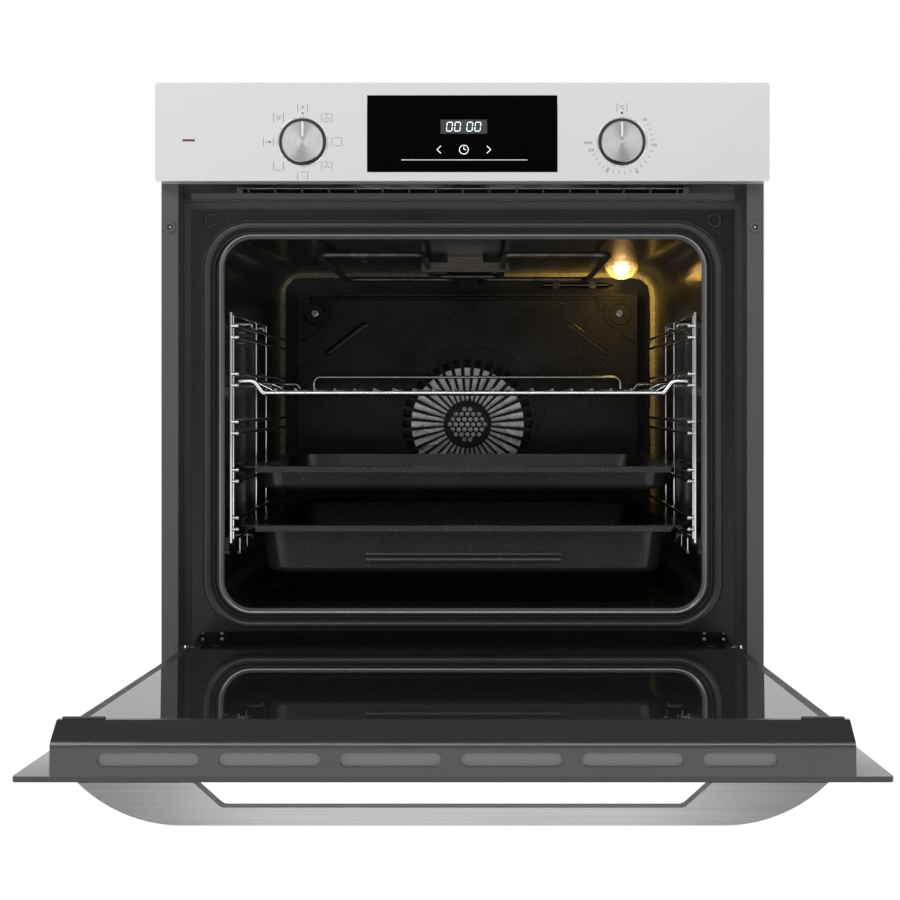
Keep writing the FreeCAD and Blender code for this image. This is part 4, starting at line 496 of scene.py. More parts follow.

# %% [markdown]
# ## Glass
# The door has three panes. The one that faces the cavity is tinted and reflects like a dark
# mirror, the middle one is clear, and the outer one is printed from behind: a light border
# round a dark window, with painted shade that darkens the border towards its free edge and is near
# black along it. Only these marks change over the surface, as masks of the place, and the glass keeps its plain
# values.


# %% Glass
def pane(name, colour, alpha, low, high, **sockets):
    """A flat pane with faint wipe marks."""
    tree, shader = start_material(name, colour, **sockets)
    shader.inputs["Alpha"].default_value = alpha
    uneven_roughness(tree, shader, low, high, 9.0)
    raise_surface(tree, shader, cloud(tree, 7.0, 1.0), 0.00002, 0.1)
    return tree, shader


def window_mask(tree, middle, half, corner):
    """1 inside a rounded window on the open door's face, 0 in its border."""
    size = vector_node(tree, "ABSOLUTE", vector_node(tree, "SUBTRACT", own_place(tree), middle))
    past = vector_node(tree, "SUBTRACT", size, tuple(h - corner for h in half))
    outside = vector_node(tree, "MAXIMUM", past, (0.0, 0.0, 0.0))
    soft_edge = 0.2 * MM
    return spread(tree, vector_node(tree, "LENGTH", outside), corner + soft_edge, corner - soft_edge)


def printed_glass():
    """Outer pane: light print round a dark see-through window, with painted shade on the print."""
    low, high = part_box("outer_glass")
    middle = (low + high) / 2
    side_border, end_border, corner = 80 * MM, 75 * MM, 18 * MM
    half = (high.x - side_border, (high.y - low.y) / 2 - end_border, 1.0)
    tree, shader = pane("outer_door_glass", grey(0.46), 1.0, 0.10, 0.18)
    inside = window_mask(tree, tuple(middle), half, corner)
    depth = along_axes(tree, own_place(tree))[1]
    # Painted shade: the print darkens towards the free edge and is near black along that edge.
    shade = spread(tree, depth, low.y + 100 * MM, low.y)
    painted_dark_rim = spread(tree, depth, low.y + 3 * MM, low.y + 1 * MM)
    print_and_painted_shade = blend_colours(tree, painted_dark_rim, blend_colours(tree, shade, grey(0.48), grey(0.22)), grey(0.03))
    paint(tree, shader, blend_colours(tree, inside, print_and_painted_shade, grey(0.012)))
    paint(tree, shader, spread(tree, inside, 0.0, 1.0, 1.0, 0.72), "Alpha")


mirror_coat = {"IOR": 1.9, "Coat_Weight": 0.8, "Coat_Roughness": 0.01}
pane("inner_door_glass", grey(0.024), 0.86, 0.012, 0.03, **mirror_coat)
pane("clear_glass", grey(0.30), 0.12, 0.02, 0.05)
pane("display_glass", grey(0.001), 1.0, 0.03, 0.07, Specular_IOR_Level=0.02)
pane("lamp_glass", (0.9, 0.72, 0.42), 0.35, 0.05, 0.14)
printed_glass()
print(len(materials), "materials so far")

# %% [markdown]
# ## Mesh, wool and the lit lamp
# The door's air slots are backed by woven steel, the cavity is wrapped in mineral wool, and
# the lamp glows through its dome, a warm yellow against the black enamel.

# %% Mesh, wool and lamp
tree, shader = start_material("mesh_steel", grey(0.30), metallic=0.8)
cloth = place_group(tree, weave, Pitch=2600.0)
paint(tree, shader, blend_colours(tree, cloth["Tone"], grey(0.03), grey(0.20)))
uneven_roughness(tree, shader, 0.34, 0.46, 60.0)
raise_surface(tree, shader, cloth["Height"], 0.0003, 0.7)

tree, shader = start_material("mineral_wool", (0.42, 0.38, 0.24), Roughness=0.95, Sheen_Weight=0.3)
strands = place_group(tree, fibres, Scale=170.0)
colours = blend_colours(tree, strands["Tone"], (0.30, 0.26, 0.15), (0.52, 0.48, 0.33))
paint(tree, shader, colours)
raise_surface(tree, shader, strands["Height"], 0.002, 0.8)

tree, shader = start_material("lamp_filament", (1.0, 0.9, 0.7), Roughness=0.3)
hot = spread(tree, cloud(tree, 120.0, 1.0), 0.3, 0.7)
paint(tree, shader, blend_colours(tree, hot, (1.0, 0.80, 0.52), (1.0, 0.94, 0.80)), "Emission Color")
shader.inputs["Emission Strength"].default_value = 5.0
print(len(materials), "materials so far")

# %% [markdown]
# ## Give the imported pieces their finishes
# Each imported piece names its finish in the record, so one loop does them all. The knob
# faces are the exception: the disc is turned aluminium and the pointer in it is white, and
# both are in one piece. The pointer's faces are found by their place and get slot two.


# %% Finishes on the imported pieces
def wear_finish(piece, material):
    """The only material of a piece."""
    piece.data.materials.clear()
    piece.data.materials.append(material)


for name, piece in nodes.items():
    if name not in face_nodes:
        wear_finish(piece, materials[slot_of[name]])

pointer_width, pointer_start, pointer_depth, slack = 1.8 * MM, 5.0 * MM, 0.8 * MM, 0.01 * MM
for name in face_nodes:
    piece = nodes[name]
    low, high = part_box(name)
    centre = (low + high) / 2
    wear_finish(piece, materials[name])
    piece.data.materials.append(materials["pointer_white"])
    count = 0
    for face in piece.data.polygons:
        middle = face.center - centre
        beside = abs(middle.x) <= pointer_width / 2 + slack
        within = pointer_start - slack <= middle.z
        if beside and within and middle.y < pointer_depth - (high.y - low.y) / 2:
            face.material_index = 1
            count += 1
    print(name, count, "pointer faces")

# %% [markdown]
# ## Mesh helpers for the added pieces
# The added pieces are built from points. A piece is first drawn in a bmesh, then becomes an
# object that rides on a body. On the door, pieces are drawn with the door shut, where they
# are easy to measure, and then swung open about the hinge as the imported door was.

# %% Mesh helpers
door_joint = next(j for j in frame["joints"] if j["name"] == "door_hinge")
hinge_place = Vector(door_joint["pos_m"])
door_angle = math.radians(door_joint["range_deg"][1])
opening = Matrix.Rotation(door_angle, 4, "X")
swing = Matrix.Translation(hinge_place) @ opening @ Matrix.Translation(-hinge_place)
HOUSING_DARK = "housing", "dark_enamel", "dark_enamel", 60
FORWARD = (0, -1, 0)


def add_piece(name, shape, body, material, slot=None, smooth=35.0, turn=None):
    """Turns a bmesh into an object on a body."""
    if turn is not None:
        shape.transform(turn)
    bmesh.ops.recalc_face_normals(shape, faces=shape.faces)
    mesh = bpy.data.meshes.new(name)
    shape.to_mesh(mesh)
    shape.free()
    mesh.polygons.foreach_set("use_smooth", [True] * len(mesh.polygons))
    mesh.set_sharp_from_angle(angle=math.radians(smooth))
    piece = show(name, mesh)
    mesh.materials.append(materials[material])
    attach(piece, body)
    return piece


def add_prism(shape, outline, y0, y1):
    """A flat shape with corners (x, z), between two Y planes."""
    back = [shape.verts.new((x, y1, z)) for x, z in outline]
    front = [shape.verts.new((x, y0, z)) for x, z in outline]
    shape.faces.new(front)
    shape.faces.new(back[::-1])
    count = len(outline)
    for i in range(count):
        j = (i + 1) % count
        shape.faces.new((front[j], front[i], back[i], back[j]))


def stroke(shape, start, end, width, y0, y1):
    """A straight printed line."""
    a, b = Vector(start), Vector(end)
    side = (b - a).normalized().orthogonal() * width / 2
    add_prism(shape, [tuple(p) for p in (a + side, b + side, b - side, a - side)], y0, y1)


def arc_points(centre, radius, start, end, steps):
    """Points along an arc, angles in degrees clockwise from the top."""
    points = []
    for i in range(steps + 1):
        angle = math.radians(start + (end - start) * i / steps)
        points.append((centre[0] + radius * math.sin(angle), centre[1] + radius * math.cos(angle)))
    return points


def dot(shape, centre, radius, y0, y1, steps=20):
    """A printed dot."""
    add_prism(shape, arc_points(centre, radius, 0, 360, steps)[:-1], y0, y1)


def printed_arc(shape, centre, radius, width, start, end, y0, y1, steps=24):
    """A printed part of a ring."""
    outer = arc_points(centre, radius + width / 2, start, end, steps)
    inner = arc_points(centre, radius - width / 2, start, end, steps)
    for i in range(steps):
        add_prism(shape, [outer[i], outer[i + 1], inner[i + 1], inner[i]], y0, y1)


def rounded_loop(half_width, low, high, radius, steps=10):
    """Points (x, z) round a rounded rectangle, with the outward direction of each."""
    loop = []
    corners = [(half_width - radius, high - radius, 0), (half_width - radius, low + radius, 90)]
    corners += [(-half_width + radius, low + radius, 180), (-half_width + radius, high - radius, 270)]
    for cx, cz, first in corners:
        for i in range(steps + 1):
            angle = math.radians(first + 90 * i / steps)
            out = Vector((math.sin(angle), math.cos(angle)))
            loop.append((Vector((cx, cz)) + out * radius, out))
    return loop


def sweep_loop(shape, loop, profile):
    """A closed section of (outward, y) points carried round a loop."""
    rings = []
    for place, out in loop:
        rings.append([shape.verts.new((place.x + out.x * o, y, place.y + out.y * o)) for o, y in profile])
    count = len(profile)
    for i, ring in enumerate(rings):
        after = rings[(i + 1) % len(rings)]
        for k in range(count):
            m = (k + 1) % count
            shape.faces.new((ring[k], ring[m], after[m], after[k]))


hinge_mm = tuple(round(v / MM) for v in hinge_place)
print("the door opens", round(math.degrees(door_angle)), "degrees about", hinge_mm)

# %% [markdown]
# ## Raised beads
# Thin sheet rattles unless it has beads pressed into it. A bead is a long round-ended
# swelling. It could be a bump in the material, but then it would vanish from the side, so
# it is a mesh: rows of points across the bead, lifted by half a cosine.


# %% Raised beads
def skin(shape, grid):
    """Faces between the rows of a grid of points, joined where points fall together."""
    for row, after in zip(grid, grid[1:]):
        for k in range(len(row) - 1):
            shape.faces.new((row[k], after[k], after[k + 1], row[k + 1]))
    bmesh.ops.remove_doubles(shape, verts=shape.verts, dist=1e-6)


def add_bead(shape, start, end, width, height, normal, rows=8, steps=30):
    """One bead from start to end, lifted along a normal."""
    a, b, up = Vector(start), Vector(end), Vector(normal).normalized()
    along = (b - a).normalized()
    across = up.cross(along)
    length = (b - a).length
    half = width / 2
    grid = []
    for i in range(steps + 1):
        t = i / steps
        s = length * (1 - math.cos(math.pi * t)) / 2
        from_end = min(s, length - s)
        reach = half if from_end >= half else math.sqrt(max(0.0, half**2 - (half - from_end) ** 2))
        rise = height * math.sin(min(1.0, from_end / half) * math.pi / 2)
        row = []
        for k in range(rows + 1):
            u = 2 * k / rows - 1
            lift = math.cos(u * math.pi / 2) * rise
            row.append(shape.verts.new(a + along * s + across * u * reach + up * lift))
        grid.append(row)
    skin(shape, grid)


def beads_piece(name, lines, width, normal):
    """A set of beads on the casing as one piece."""
    shape = bmesh.new()
    for start, end in lines:
        add_bead(shape, start, end, width, 3 * MM, normal)
    return add_piece(name, shape, "housing", "galvanised", "galvanised", 60)


def case_beads():
    """Beads on the back, the top and both sides of the casing."""
    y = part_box("back_cover")[1].y
    columns = (-0.19, -0.115, 0.115, 0.19)
    lines = [((x, y, z0), (x, y, z1)) for z0, z1 in ((0.06, 0.15), (0.35, 0.49)) for x in columns]
    beads_piece("back_beads", lines, 16 * MM, (0, 1, 0))
    for side, sign in (("left", -1), ("right", 1)):
        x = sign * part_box("side_panels")[1].x
        lines = [((x, y0, z), (x, y0 + 0.14, z)) for y0 in (0.08, 0.30) for z in (0.12, 0.46)]
        lines += [((x, y0, 0.17), (x, y0, 0.41)) for y0 in (0.11, 0.20, 0.34, 0.43)]
        beads_piece("side_beads_" + side, lines, 18 * MM, (sign, 0, 0))
    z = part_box("top_cover")[1].z
    lines = [((x, 0.17, z), (x, 0.42, z)) for x in (-0.2, -0.1, 0.0, 0.1, 0.2)]
    beads_piece("top_beads", lines, 18 * MM, (0, 0, 1))


case_beads()
print("beads on the back, sides and top")

# %% [markdown]
# ## The door seal
# The seal is a soft tube of silicone on a flat foot, hooked into the liner at its corners.
# A plain packed ring stands for it in the model. Here its section is drawn properly, a bulb
# with a thin lip towards the cavity, and carried round the mouth.


# %% Door seal
def seal_profile(width, y_back, y_front):
    """Section of the seal: a foot, a bulb and an inner lip, as (outward, y)."""
    depth = y_back - y_front
    points = [(0.0, y_back), (0.0, y_back - depth * 0.25)]
    bulb_radius = width * 0.36
    centre = (-width * 0.42, y_front + bulb_radius)
    for i in range(15):
        angle = math.radians(20 + i * 15)
        across, out = bulb_radius * math.cos(angle), bulb_radius * math.sin(angle)
        points.append((centre[0] + across, centre[1] - out))
    lip = [(0.80, 0.50), (0.98, 0.62), (1.0, 0.52), (0.86, 0.20), (0.86, 0.0)]
    return points + [(-width * across, y_back - depth * out) for across, out in lip]


gasket_low, gasket_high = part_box("door_gasket")
gasket_radius = 50 * MM
seal_shape = bmesh.new()
seal_loop = rounded_loop(gasket_high.x, gasket_low.z, gasket_high.z, gasket_radius, 14)
seal_section = seal_profile(13.6 * MM, gasket_high.y, gasket_low.y)
sweep_loop(seal_shape, seal_loop, seal_section)
seal = add_piece("door_seal", seal_shape, "housing", "black_seal", "black_seal", 50)
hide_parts("door_gasket")
print("seal section", len(seal_section), "points,", len(seal_loop), "places")

# %% [markdown]
# ## The rolled edge of the mouth
# Where the flange turns into the cavity, the steel is drawn round in a soft radius, and the
# enamel on it catches a thin bright line all the way round. A quarter-round ring inside the
# mouth gives that line a real shape, and its enamel is a lighter, half-metallic copy of the
# dark enamel, so the line is partly painted highlight.


# %% Mouth edge
def quarter_round(radius, y_face, turn_steps=8):
    """Section of the drawn edge, from the flange face into the cavity."""
    points = []
    for i in range(turn_steps + 1):
        angle = math.radians(90 * i / turn_steps)
        points.append((radius - radius * math.sin(angle), y_face + radius - radius * math.cos(angle)))
    return points + [(0.0, y_face + radius * 1.6), (radius, y_face + radius * 1.6)]


liner_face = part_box("cavity_liner")[0].y
mouth_half, mouth_low, mouth_high, mouth_corner = 240 * MM, 78 * MM, 450 * MM, 30 * MM
edge_radius, gap, sunk, proud = 4.5 * MM, 0.1 * MM, 1.6 * MM, 0.6 * MM
edge_shape = bmesh.new()
mouth_loop = rounded_loop(mouth_half - gap, mouth_low + gap, mouth_high - gap, mouth_corner, 14)
rolled = [(o - sunk, y) for o, y in quarter_round(edge_radius, liner_face - proud)]
sweep_loop(edge_shape, mouth_loop, rolled)
# The ring wears the lighter copy of the enamel, a painted highlight on a real rounded edge.
add_piece("mouth_edge", edge_shape, "housing", "painted_highlight_enamel", "dark_enamel", 50)
print("mouth edge", len(mouth_loop), "places")

# %% [markdown]
# ## Mineral wool
# The jacket round the cavity is a soft mat, so its plain solid is replaced by a rebuilt
# mesh: remeshed evenly, then pushed in and out by noise so that it looks felted, not cut
# from a block.


# %% Wool jacket
def felted_copy(name, source, voxel, depth, body, material):
    """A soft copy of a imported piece, remeshed and roughened by noise."""
    piece = show(name, source.data.copy())
    weld = piece.modifiers.new("weld", "WELD")
    weld.merge_threshold = 1e-5
    remesh = piece.modifiers.new("remesh", "REMESH")
    remesh.mode = "VOXEL"
    remesh.voxel_size = voxel
    graph = bpy.context.evaluated_depsgraph_get()
    mesh = bpy.data.meshes.new_from_object(piece.evaluated_get(graph))
    piece.modifiers.clear()
    piece.data = mesh
    for vertex, normal in zip(mesh.vertices, [v.normal.copy() for v in mesh.vertices]):
        lump = noise.noise(vertex.co * 26) * 0.6 + noise.noise(vertex.co * 90) * 0.4
        vertex.co += normal * (lump - 0.6) * depth
    mesh.polygons.foreach_set("use_smooth", [True] * len(mesh.polygons))
    wear_finish(piece, materials[material])
    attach(piece, body)
    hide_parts(source.name)
    return piece


wool = felted_copy("wool_jacket", nodes["insulation"], 7 * MM, 1.6 * MM, "housing", "mineral_wool")
print("wool jacket", len(wool.data.vertices), "points")

# %% [markdown]
# ## Printing on the front panel
# The signs round the knobs are screen-printed in grey, a few hundredths of a millimetre
# thick. Each sign sits between two upright bars at an eighth of a turn. They are drawn as
# thin meshes, because a print has crisp edges at any size.

# %% Print helpers
moulded("grey_print", grey(0.04, 0.02), 0.5, 0.6)
fascia_low, fascia_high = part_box("control_fascia")
INK = fascia_low.y - 0.04 * MM, fascia_low.y + 0.02 * MM
bezel_low, bezel_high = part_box("knob_bezels")
knob_z = (bezel_low.z + bezel_high.z) / 2
bezel_radius = (bezel_high.z - bezel_low.z) / 2
knob_x = bezel_high.x - bezel_radius
line_width = 0.42 * MM


def at_clock(centre, radius, angle):
    """A point at an angle clockwise from the top."""
    return arc_points(centre, radius, angle, angle, 1)[0]


def sign_bars(shape, centre, top, bottom, uprights=True):
    """The oven box that frames a sign: uprights, and bars for top and bottom heat."""
    x, z = centre
    half, tall, bar = 4.8 * MM, 4.3 * MM, 2.9 * MM
    if uprights:
        for side in (x - half, x + half):
            stroke(shape, (side, z - tall), (side, z + tall), line_width, *INK)
    for wanted, height in ((top, 3.9 * MM), (bottom, -3.9 * MM)):
        if wanted:
            ends = (x - bar, z + height), (x + bar, z + height)
            stroke(shape, *ends, line_width, *INK)


def fan_sign(shape, centre, size):
    """Three blades round a hub."""
    dot(shape, centre, size * 0.16, *INK, 12)
    for i in range(3):
        tip = at_clock(centre, size * 0.62, 120 * i)
        left = at_clock(centre, size * 0.30, 120 * i - 30)
        right = at_clock(centre, size * 0.86, 120 * i + 28)
        far = at_clock(centre, size * 0.92, 120 * i - 12)
        add_prism(shape, [left, far, right, tip], *INK)


def lamp_sign(shape, centre, size):
    """A small bulb with rays."""
    printed_arc(shape, centre, size * 0.42, line_width * 0.8, -130, 130, *INK, 14)
    x, z = centre
    for s in (-1, 1):
        foot = (x + s * size * 0.30, z - size * 0.30), (x + s * size * 0.16, z - size * 0.72)
        stroke(shape, *foot, line_width * 0.8, *INK)
    cap = z - size * 0.8
    stroke(shape, (x - size * 0.2, cap), (x + size * 0.2, cap), line_width, *INK)
    for angle in (-80, -40, 0, 40, 80):
        ray = at_clock(centre, size * 0.66, angle), at_clock(centre, size * 0.98, angle)
        stroke(shape, *ray, line_width * 0.7, *INK)


def defrost_sign(shape, centre, size):
    """A drop beside a six-armed crystal."""
    x, z = centre
    drop = (x - size * 0.45, z)
    printed_arc(shape, drop, size * 0.36, line_width * 0.8, 20, 340, *INK, 16)
    flake = (x + size * 0.42, z)
    for i in range(3):
        ends = at_clock(flake, size * 0.5, 60 * i), at_clock(flake, size * 0.5, 60 * i + 180)
        stroke(shape, *ends, line_width, *INK)


def text_piece(name, words, size, centre, turn=0.0):
    """Printed letters or numbers as a thin mesh, centred on a point."""
    curve = bpy.data.curves.new(name, "FONT")
    curve.body = words
    curve.size = size
    curve.align_x, curve.align_y = "CENTER", "CENTER"
    curve.extrude = 0.03 * MM
    curve.resolution_u = 6
    drawn = show(name + "_drawn", curve)
    graph = bpy.context.evaluated_depsgraph_get()
    mesh = bpy.data.meshes.new_from_object(drawn.evaluated_get(graph))
    mesh.name = name
    bpy.data.objects.remove(drawn)
    upright = Matrix.Rotation(math.radians(90), 4, "X")
    roll = Matrix.Rotation(math.radians(turn), 4, "Y")
    mesh.transform(Matrix.Translation((centre[0], fascia_low.y, centre[1])) @ roll @ upright)
    return mesh


print("print is", round((INK[1] - INK[0]) / MM, 2), "mm thick round knobs at", round(knob_x / MM, 1))

# %% [markdown]
# ## The two dials
# The left dial picks the way of heating: grill, both heats, top, bottom, fan and lamp. The
# right one is the thermostat: a number every fifty degrees, with four ticks between.


# %% Dials
def function_dial():
    """Signs every eighth of a turn round the left knob."""
    shape = bmesh.new()
    centre = (-knob_x, knob_z)
    ring = 33 * MM
    places = [at_clock(centre, ring, 45 * i) for i in range(8)]
    bars = [(0, 0), (1, 1), (1, 1), (1, 0), (1, 0), (0, 1), (0, 0), (0, 0)]
    for place, (top, bottom) in zip(places, bars):
        sign_bars(shape, place, top, bottom)
    dot(shape, (places[0][0], places[0][1] - 5.2 * MM), 0.9 * MM, *INK)
    fan_sign(shape, places[1], 2.7 * MM)
    fan_sign(shape, places[3], 2.7 * MM)
    defrost_sign(shape, places[6], 3.0 * MM)
    lamp_sign(shape, places[7], 2.8 * MM)
    letter = text_piece("sign_letter", "P", 4.4 * MM, places[0])
    shape.from_mesh(letter)
    return add_piece("function_dial_print", shape, "housing", "grey_print")


def thermostat_dial():
    """Numbers and ticks round the right knob."""
    shape = bmesh.new()
    centre = (knob_x, knob_z)
    numbers = [("50", 46, 0), ("100", 96, 0), ("150", 153, 62), ("200", 207, -62)]
    numbers += [("250", 255, 0)]
    for (_, before, _), (_, after, _) in zip(numbers, numbers[1:]):
        for i in range(1, 5):
            angle = before + (after - before) * i / 5
            ends = at_clock(centre, 28.2 * MM, angle), at_clock(centre, 31.4 * MM, angle)
            stroke(shape, *ends, line_width, *INK)
    top = at_clock(centre, 33.3 * MM, 0)
    sign_bars(shape, top, 0, 0)
    dot(shape, (top[0], top[1] - 5.3 * MM), 1.2 * MM, *INK)
    for words, angle, turn in numbers + [("MAX", 268, 0)]:
        place = at_clock(centre, 32.6 * MM if words == "MAX" else 31.0 * MM, angle)
        shape.from_mesh(text_piece("number", words, 3.9 * MM, place, turn))
    shape.from_mesh(text_piece("unit", "°C", 5.2 * MM, top))
    return add_piece("thermostat_dial_print", shape, "housing", "grey_print")


for dial in (function_dial(), thermostat_dial()):
    print(dial.name, len(dial.data.polygons), "faces")

# %% [markdown]
# ## The display
# Behind the black glass, a clock shows its digits in bright segments and three touch signs
# glow below them, over a thin lit line.

# %% Display
lights = ("clock_light", (0.80, 0.92, 1.0), 0.9), ("touch_light", (1.0, 1.0, 1.0), 0.55)
for name, colour, strength in lights:
    tree, shader = start_material(name, colour, Roughness=0.4)
    flicker = spread(tree, cloud(tree, 900.0, 1.0), 0.2, 0.8)
    dimmer = tuple(c * 0.82 for c in colour)
    paint(tree, shader, blend_colours(tree, flicker, dimmer, colour), "Emission Color")
    shader.inputs["Emission Strength"].default_value = strength
moulded("clock_window", grey(0.024), 0.25, 0.35)
glass_low, glass_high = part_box("display_glass")
display_z = (glass_low.z + glass_high.z) / 2
lit_front, lit_back = LIT = glass_low.y - 0.05 * MM, glass_low.y + 0.02 * MM
SEGMENTS = [((0, 1), (1, 1)), ((1, 1), (1, 0)), ((1, 0), (1, -1))]
SEGMENTS += [((0, -1), (1, -1)), ((0, 0), (0, -1)), ((0, 1), (0, 0))]


def digit_zero(shape, x, z, width, height):
    """Six lit bars of a nought, leaning a little."""
    lean = 0.10
    for (u0, v0), (u1, v1) in SEGMENTS:
        a = Vector((x + u0 * width + v0 * height / 2 * lean, z + v0 * height / 2))
        b = Vector((x + u1 * width + v1 * height / 2 * lean, z + v1 * height / 2))
        inset = (b - a).normalized() * 0.45 * MM
        stroke(shape, a + inset, b - inset, 0.75 * MM, lit_front - 0.01 * MM, lit_back)


def display_pieces():
    """Clock window, digits, touch signs and the line under them."""
    window = bmesh.new()
    outline = [(-21, 545.4), (24, 545.4), (24, 559.0), (-21, 559.0)]
    add_prism(window, [(x * MM, z * MM) for x, z in outline], lit_front + 0.02 * MM, lit_back)
    add_piece("clock_window", window, "housing", "clock_window")
    digits = bmesh.new()
    for x in (-15.0, -7.2, 4.6, 12.4):
        digit_zero(digits, x * MM, 552.2 * MM, 5.2 * MM, 8.6 * MM)
    add_piece("clock_digits", digits, "housing", "clock_light")
    signs = bmesh.new()
    z = 530 * MM
    thin = 0.6 * MM
    for s, x in ((-1, -22.5 * MM), (1, 25.5 * MM)):
        tip = (x + s * 2.0 * MM, z)
        for side in (-1, 1):
            stroke(signs, (x - s * 1.8 * MM, z + side * 3.6 * MM), tip, thin, *LIT)
    clock = (1.5 * MM, z)
    printed_arc(signs, clock, 4.3 * MM, thin, 0, 360, *LIT, 32)
    stroke(signs, clock, (clock[0], z + 2.9 * MM), thin, *LIT)
    stroke(signs, clock, (clock[0] + 2.2 * MM, z), thin, *LIT)
    stroke(signs, (-59 * MM, 520 * MM), (63 * MM, 520 * MM), 0.4 * MM, *LIT)
    add_piece("touch_signs", signs, "housing", "touch_light")


display_pieces()
print("display in the middle of", round(display_z / MM, 1))

# %% [markdown]
# ## The rear panel's pressings
# The panel over the fan is pressed for stiffness: a raised plate round each upper screw, a
# short slanting rib below it, and a bead along the top edge. On the flange, two round
# dimples sit above the mouth.


# %% Rear panel pressings
def ring_bead(shape, x, z, y_face, radius, width, height, start=0, end=360, steps=36, rows=6):
    """A raised ring, or part of one, on a face that looks along -Y."""
    grid = []
    for i in range(steps + 1):
        angle = math.radians(start + (end - start) * i / steps)
        row = []
        for k in range(rows + 1):
            u = 2 * k / rows - 1
            r = radius + u * width / 2
            lift = height * math.cos(u * math.pi / 2)
            across, up = r * math.sin(angle), r * math.cos(angle)
            row.append(shape.verts.new((x + across, y_face - lift, z + up)))
        grid.append(row)
    skin(shape, grid)


def cover_pressings():
    """Raised shapes on the panel over the fan."""
    y, top = 434 * MM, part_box("fan_cover")[1].z
    shape = bmesh.new()
    low_bead = 1.2 * MM
    for s in (-1, 1):
        x, z = s * 192.5 * MM, 396.7 * MM
        ring_bead(shape, x, z, y, 13 * MM, 4 * MM, 1.4 * MM)
        arc = (60, 170) if s < 0 else (-170, -60)
        ring_bead(shape, x, z, y, 19 * MM, 3 * MM, low_bead, *arc)
        notch = [(-31, 23), (-24, 4), (-15, 14), (-2, 19)]
        runs = [(a, b, 3) for a, b in zip(notch, notch[1:])]
        runs += [((19, -36), (2, -26), 3), ((-14, -52), (-66, -12), 9)]
        for a, b, width in runs:
            ends = [(x + s * across * MM, y, z + up * MM) for across, up in (a, b)]
            add_bead(shape, *ends, width * MM, low_bead, FORWARD)
    for s in (-1, 1):
        add_bead(shape, (s * 0.15, y, 0.128), (s * 0.11, y, 0.106), 8 * MM, low_bead, FORWARD)
    z = top - 6 * MM
    add_bead(shape, (-0.20, y, z), (0.20, y, z), 5 * MM, 1.6 * MM, FORWARD, steps=60)
    add_piece("cover_pressings", shape, *HOUSING_DARK)


def flange_dimples():
    """Round dimples above the mouth, one on each side."""
    shape = bmesh.new()
    for s in (-1, 1):
        ring_bead(shape, s * 251 * MM, 467 * MM, liner_face, 6.2 * MM, 3.0 * MM, 0.7 * MM)
    add_piece("flange_dimples", shape, *HOUSING_DARK)


cover_pressings()
flange_dimples()
print("pressings on the rear panel and the flange")

# %% [markdown]
# ## Small pieces of the door and the hinges
# Two soft pads on the trim's deep edge stop it from tapping the frame, bright rivets hold
# each hinge's receiver to the frame, a screw head sits in each fixing hole on a black plug
# that is painted shade for the hollow of the hole, and a double pressed ridge stiffens the
# deep tray.


# %% Pads, rivets and the tray's ridge
trim_points = [swing.inverted() @ v.co for v in nodes["door_trim"].data.vertices]
trim_depth = max(p.y for p in trim_points)
trim_bottom = min(p.z for p in trim_points)


def soft_pad(name, x0, x1):
    """A rubber strip with rounded ends on the trim's deep edge, drawn with the door shut."""
    shape = bmesh.new()
    width, thick = 4.4 * MM, 1.8 * MM
    z = trim_bottom + 0.4 * MM + width / 2
    loop = []
    for cx, first in ((x1 - width / 2, 0), (x0 + width / 2, 180)):
        loop += arc_points((cx, z), width / 2, first, first + 180, 8)
    add_prism(shape, loop, trim_depth - 0.2 * MM, trim_depth - 0.2 * MM + thick)
    bmesh.ops.bevel(shape, geom=shape.edges[:], offset=0.3 * MM, segments=2, affect="EDGES")
    return add_piece(name, shape, "door", "black_seal", "black_seal", turn=swing)


def dome(shape, centre, radius, height, normal, rings=5, steps=16):
    """A low round rivet head."""
    c, up = Vector(centre), Vector(normal).normalized()
    u = up.orthogonal().normalized()
    v = up.cross(u)
    top = shape.verts.new(c + up * height)
    previous = None
    for i in range(1, rings + 1):
        t = i / rings * math.pi / 2
        ring = []
        for k in range(steps):
            a = 2 * math.pi * k / steps
            out = (u * math.cos(a) + v * math.sin(a)) * radius * math.sin(t)
            ring.append(shape.verts.new(c + up * height * math.cos(t) + out))
        for k in range(steps):
            m = (k + 1) % steps
            if previous is None:
                shape.faces.new((top, ring[k], ring[m]))
            else:
                shape.faces.new((previous[k], ring[k], ring[m], previous[m]))
        previous = ring
    shape.faces.new(previous[::-1])


def hinge_rivets():
    """Rivets beside each hinge arm, on the sheet behind it."""
    shape = bmesh.new()
    for s in (-1, 1):
        for x, z in ((243, 47), (263, 47), (243, 53), (263, 53)):
            dome(shape, (s * x * MM, 39.9 * MM, z * MM), 2.2 * MM, 1.4 * MM, FORWARD)
    add_piece("hinge_rivets", shape, "housing", "bright_steel", "bright_steel", 40)


def painted_shade_plugs():
    """Recessed black plugs in the mounting cups, each round a screw head, painted shade for the hollow of the
    hole.
    """
    shape, heads = bmesh.new(), bmesh.new()
    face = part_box("front_frame")[0].y + 0.3 * MM
    z, plug_front, plug_back = 457.4 * MM, -1.0 * MM, -0.4 * MM
    for x in (-287 * MM, 287 * MM):
        # Painted shade: the black plug darkens the hole that would otherwise show the room behind.
        dot(shape, (x, z), 2.62 * MM, plug_front, plug_back, 24)
        ring_bead(shape, x, z, face, 4.4 * MM, 2.0 * MM, 0.28 * MM)
        dome(heads, (x, plug_front, z), 1.2 * MM, 0.7 * MM, FORWARD)
    add_piece("painted_shade_plugs", shape, "housing", "black_plastic", "black_plastic", 40)
    add_piece("mount_screw_heads", heads, "housing", "zinc_screw", "zinc_screw", 40)


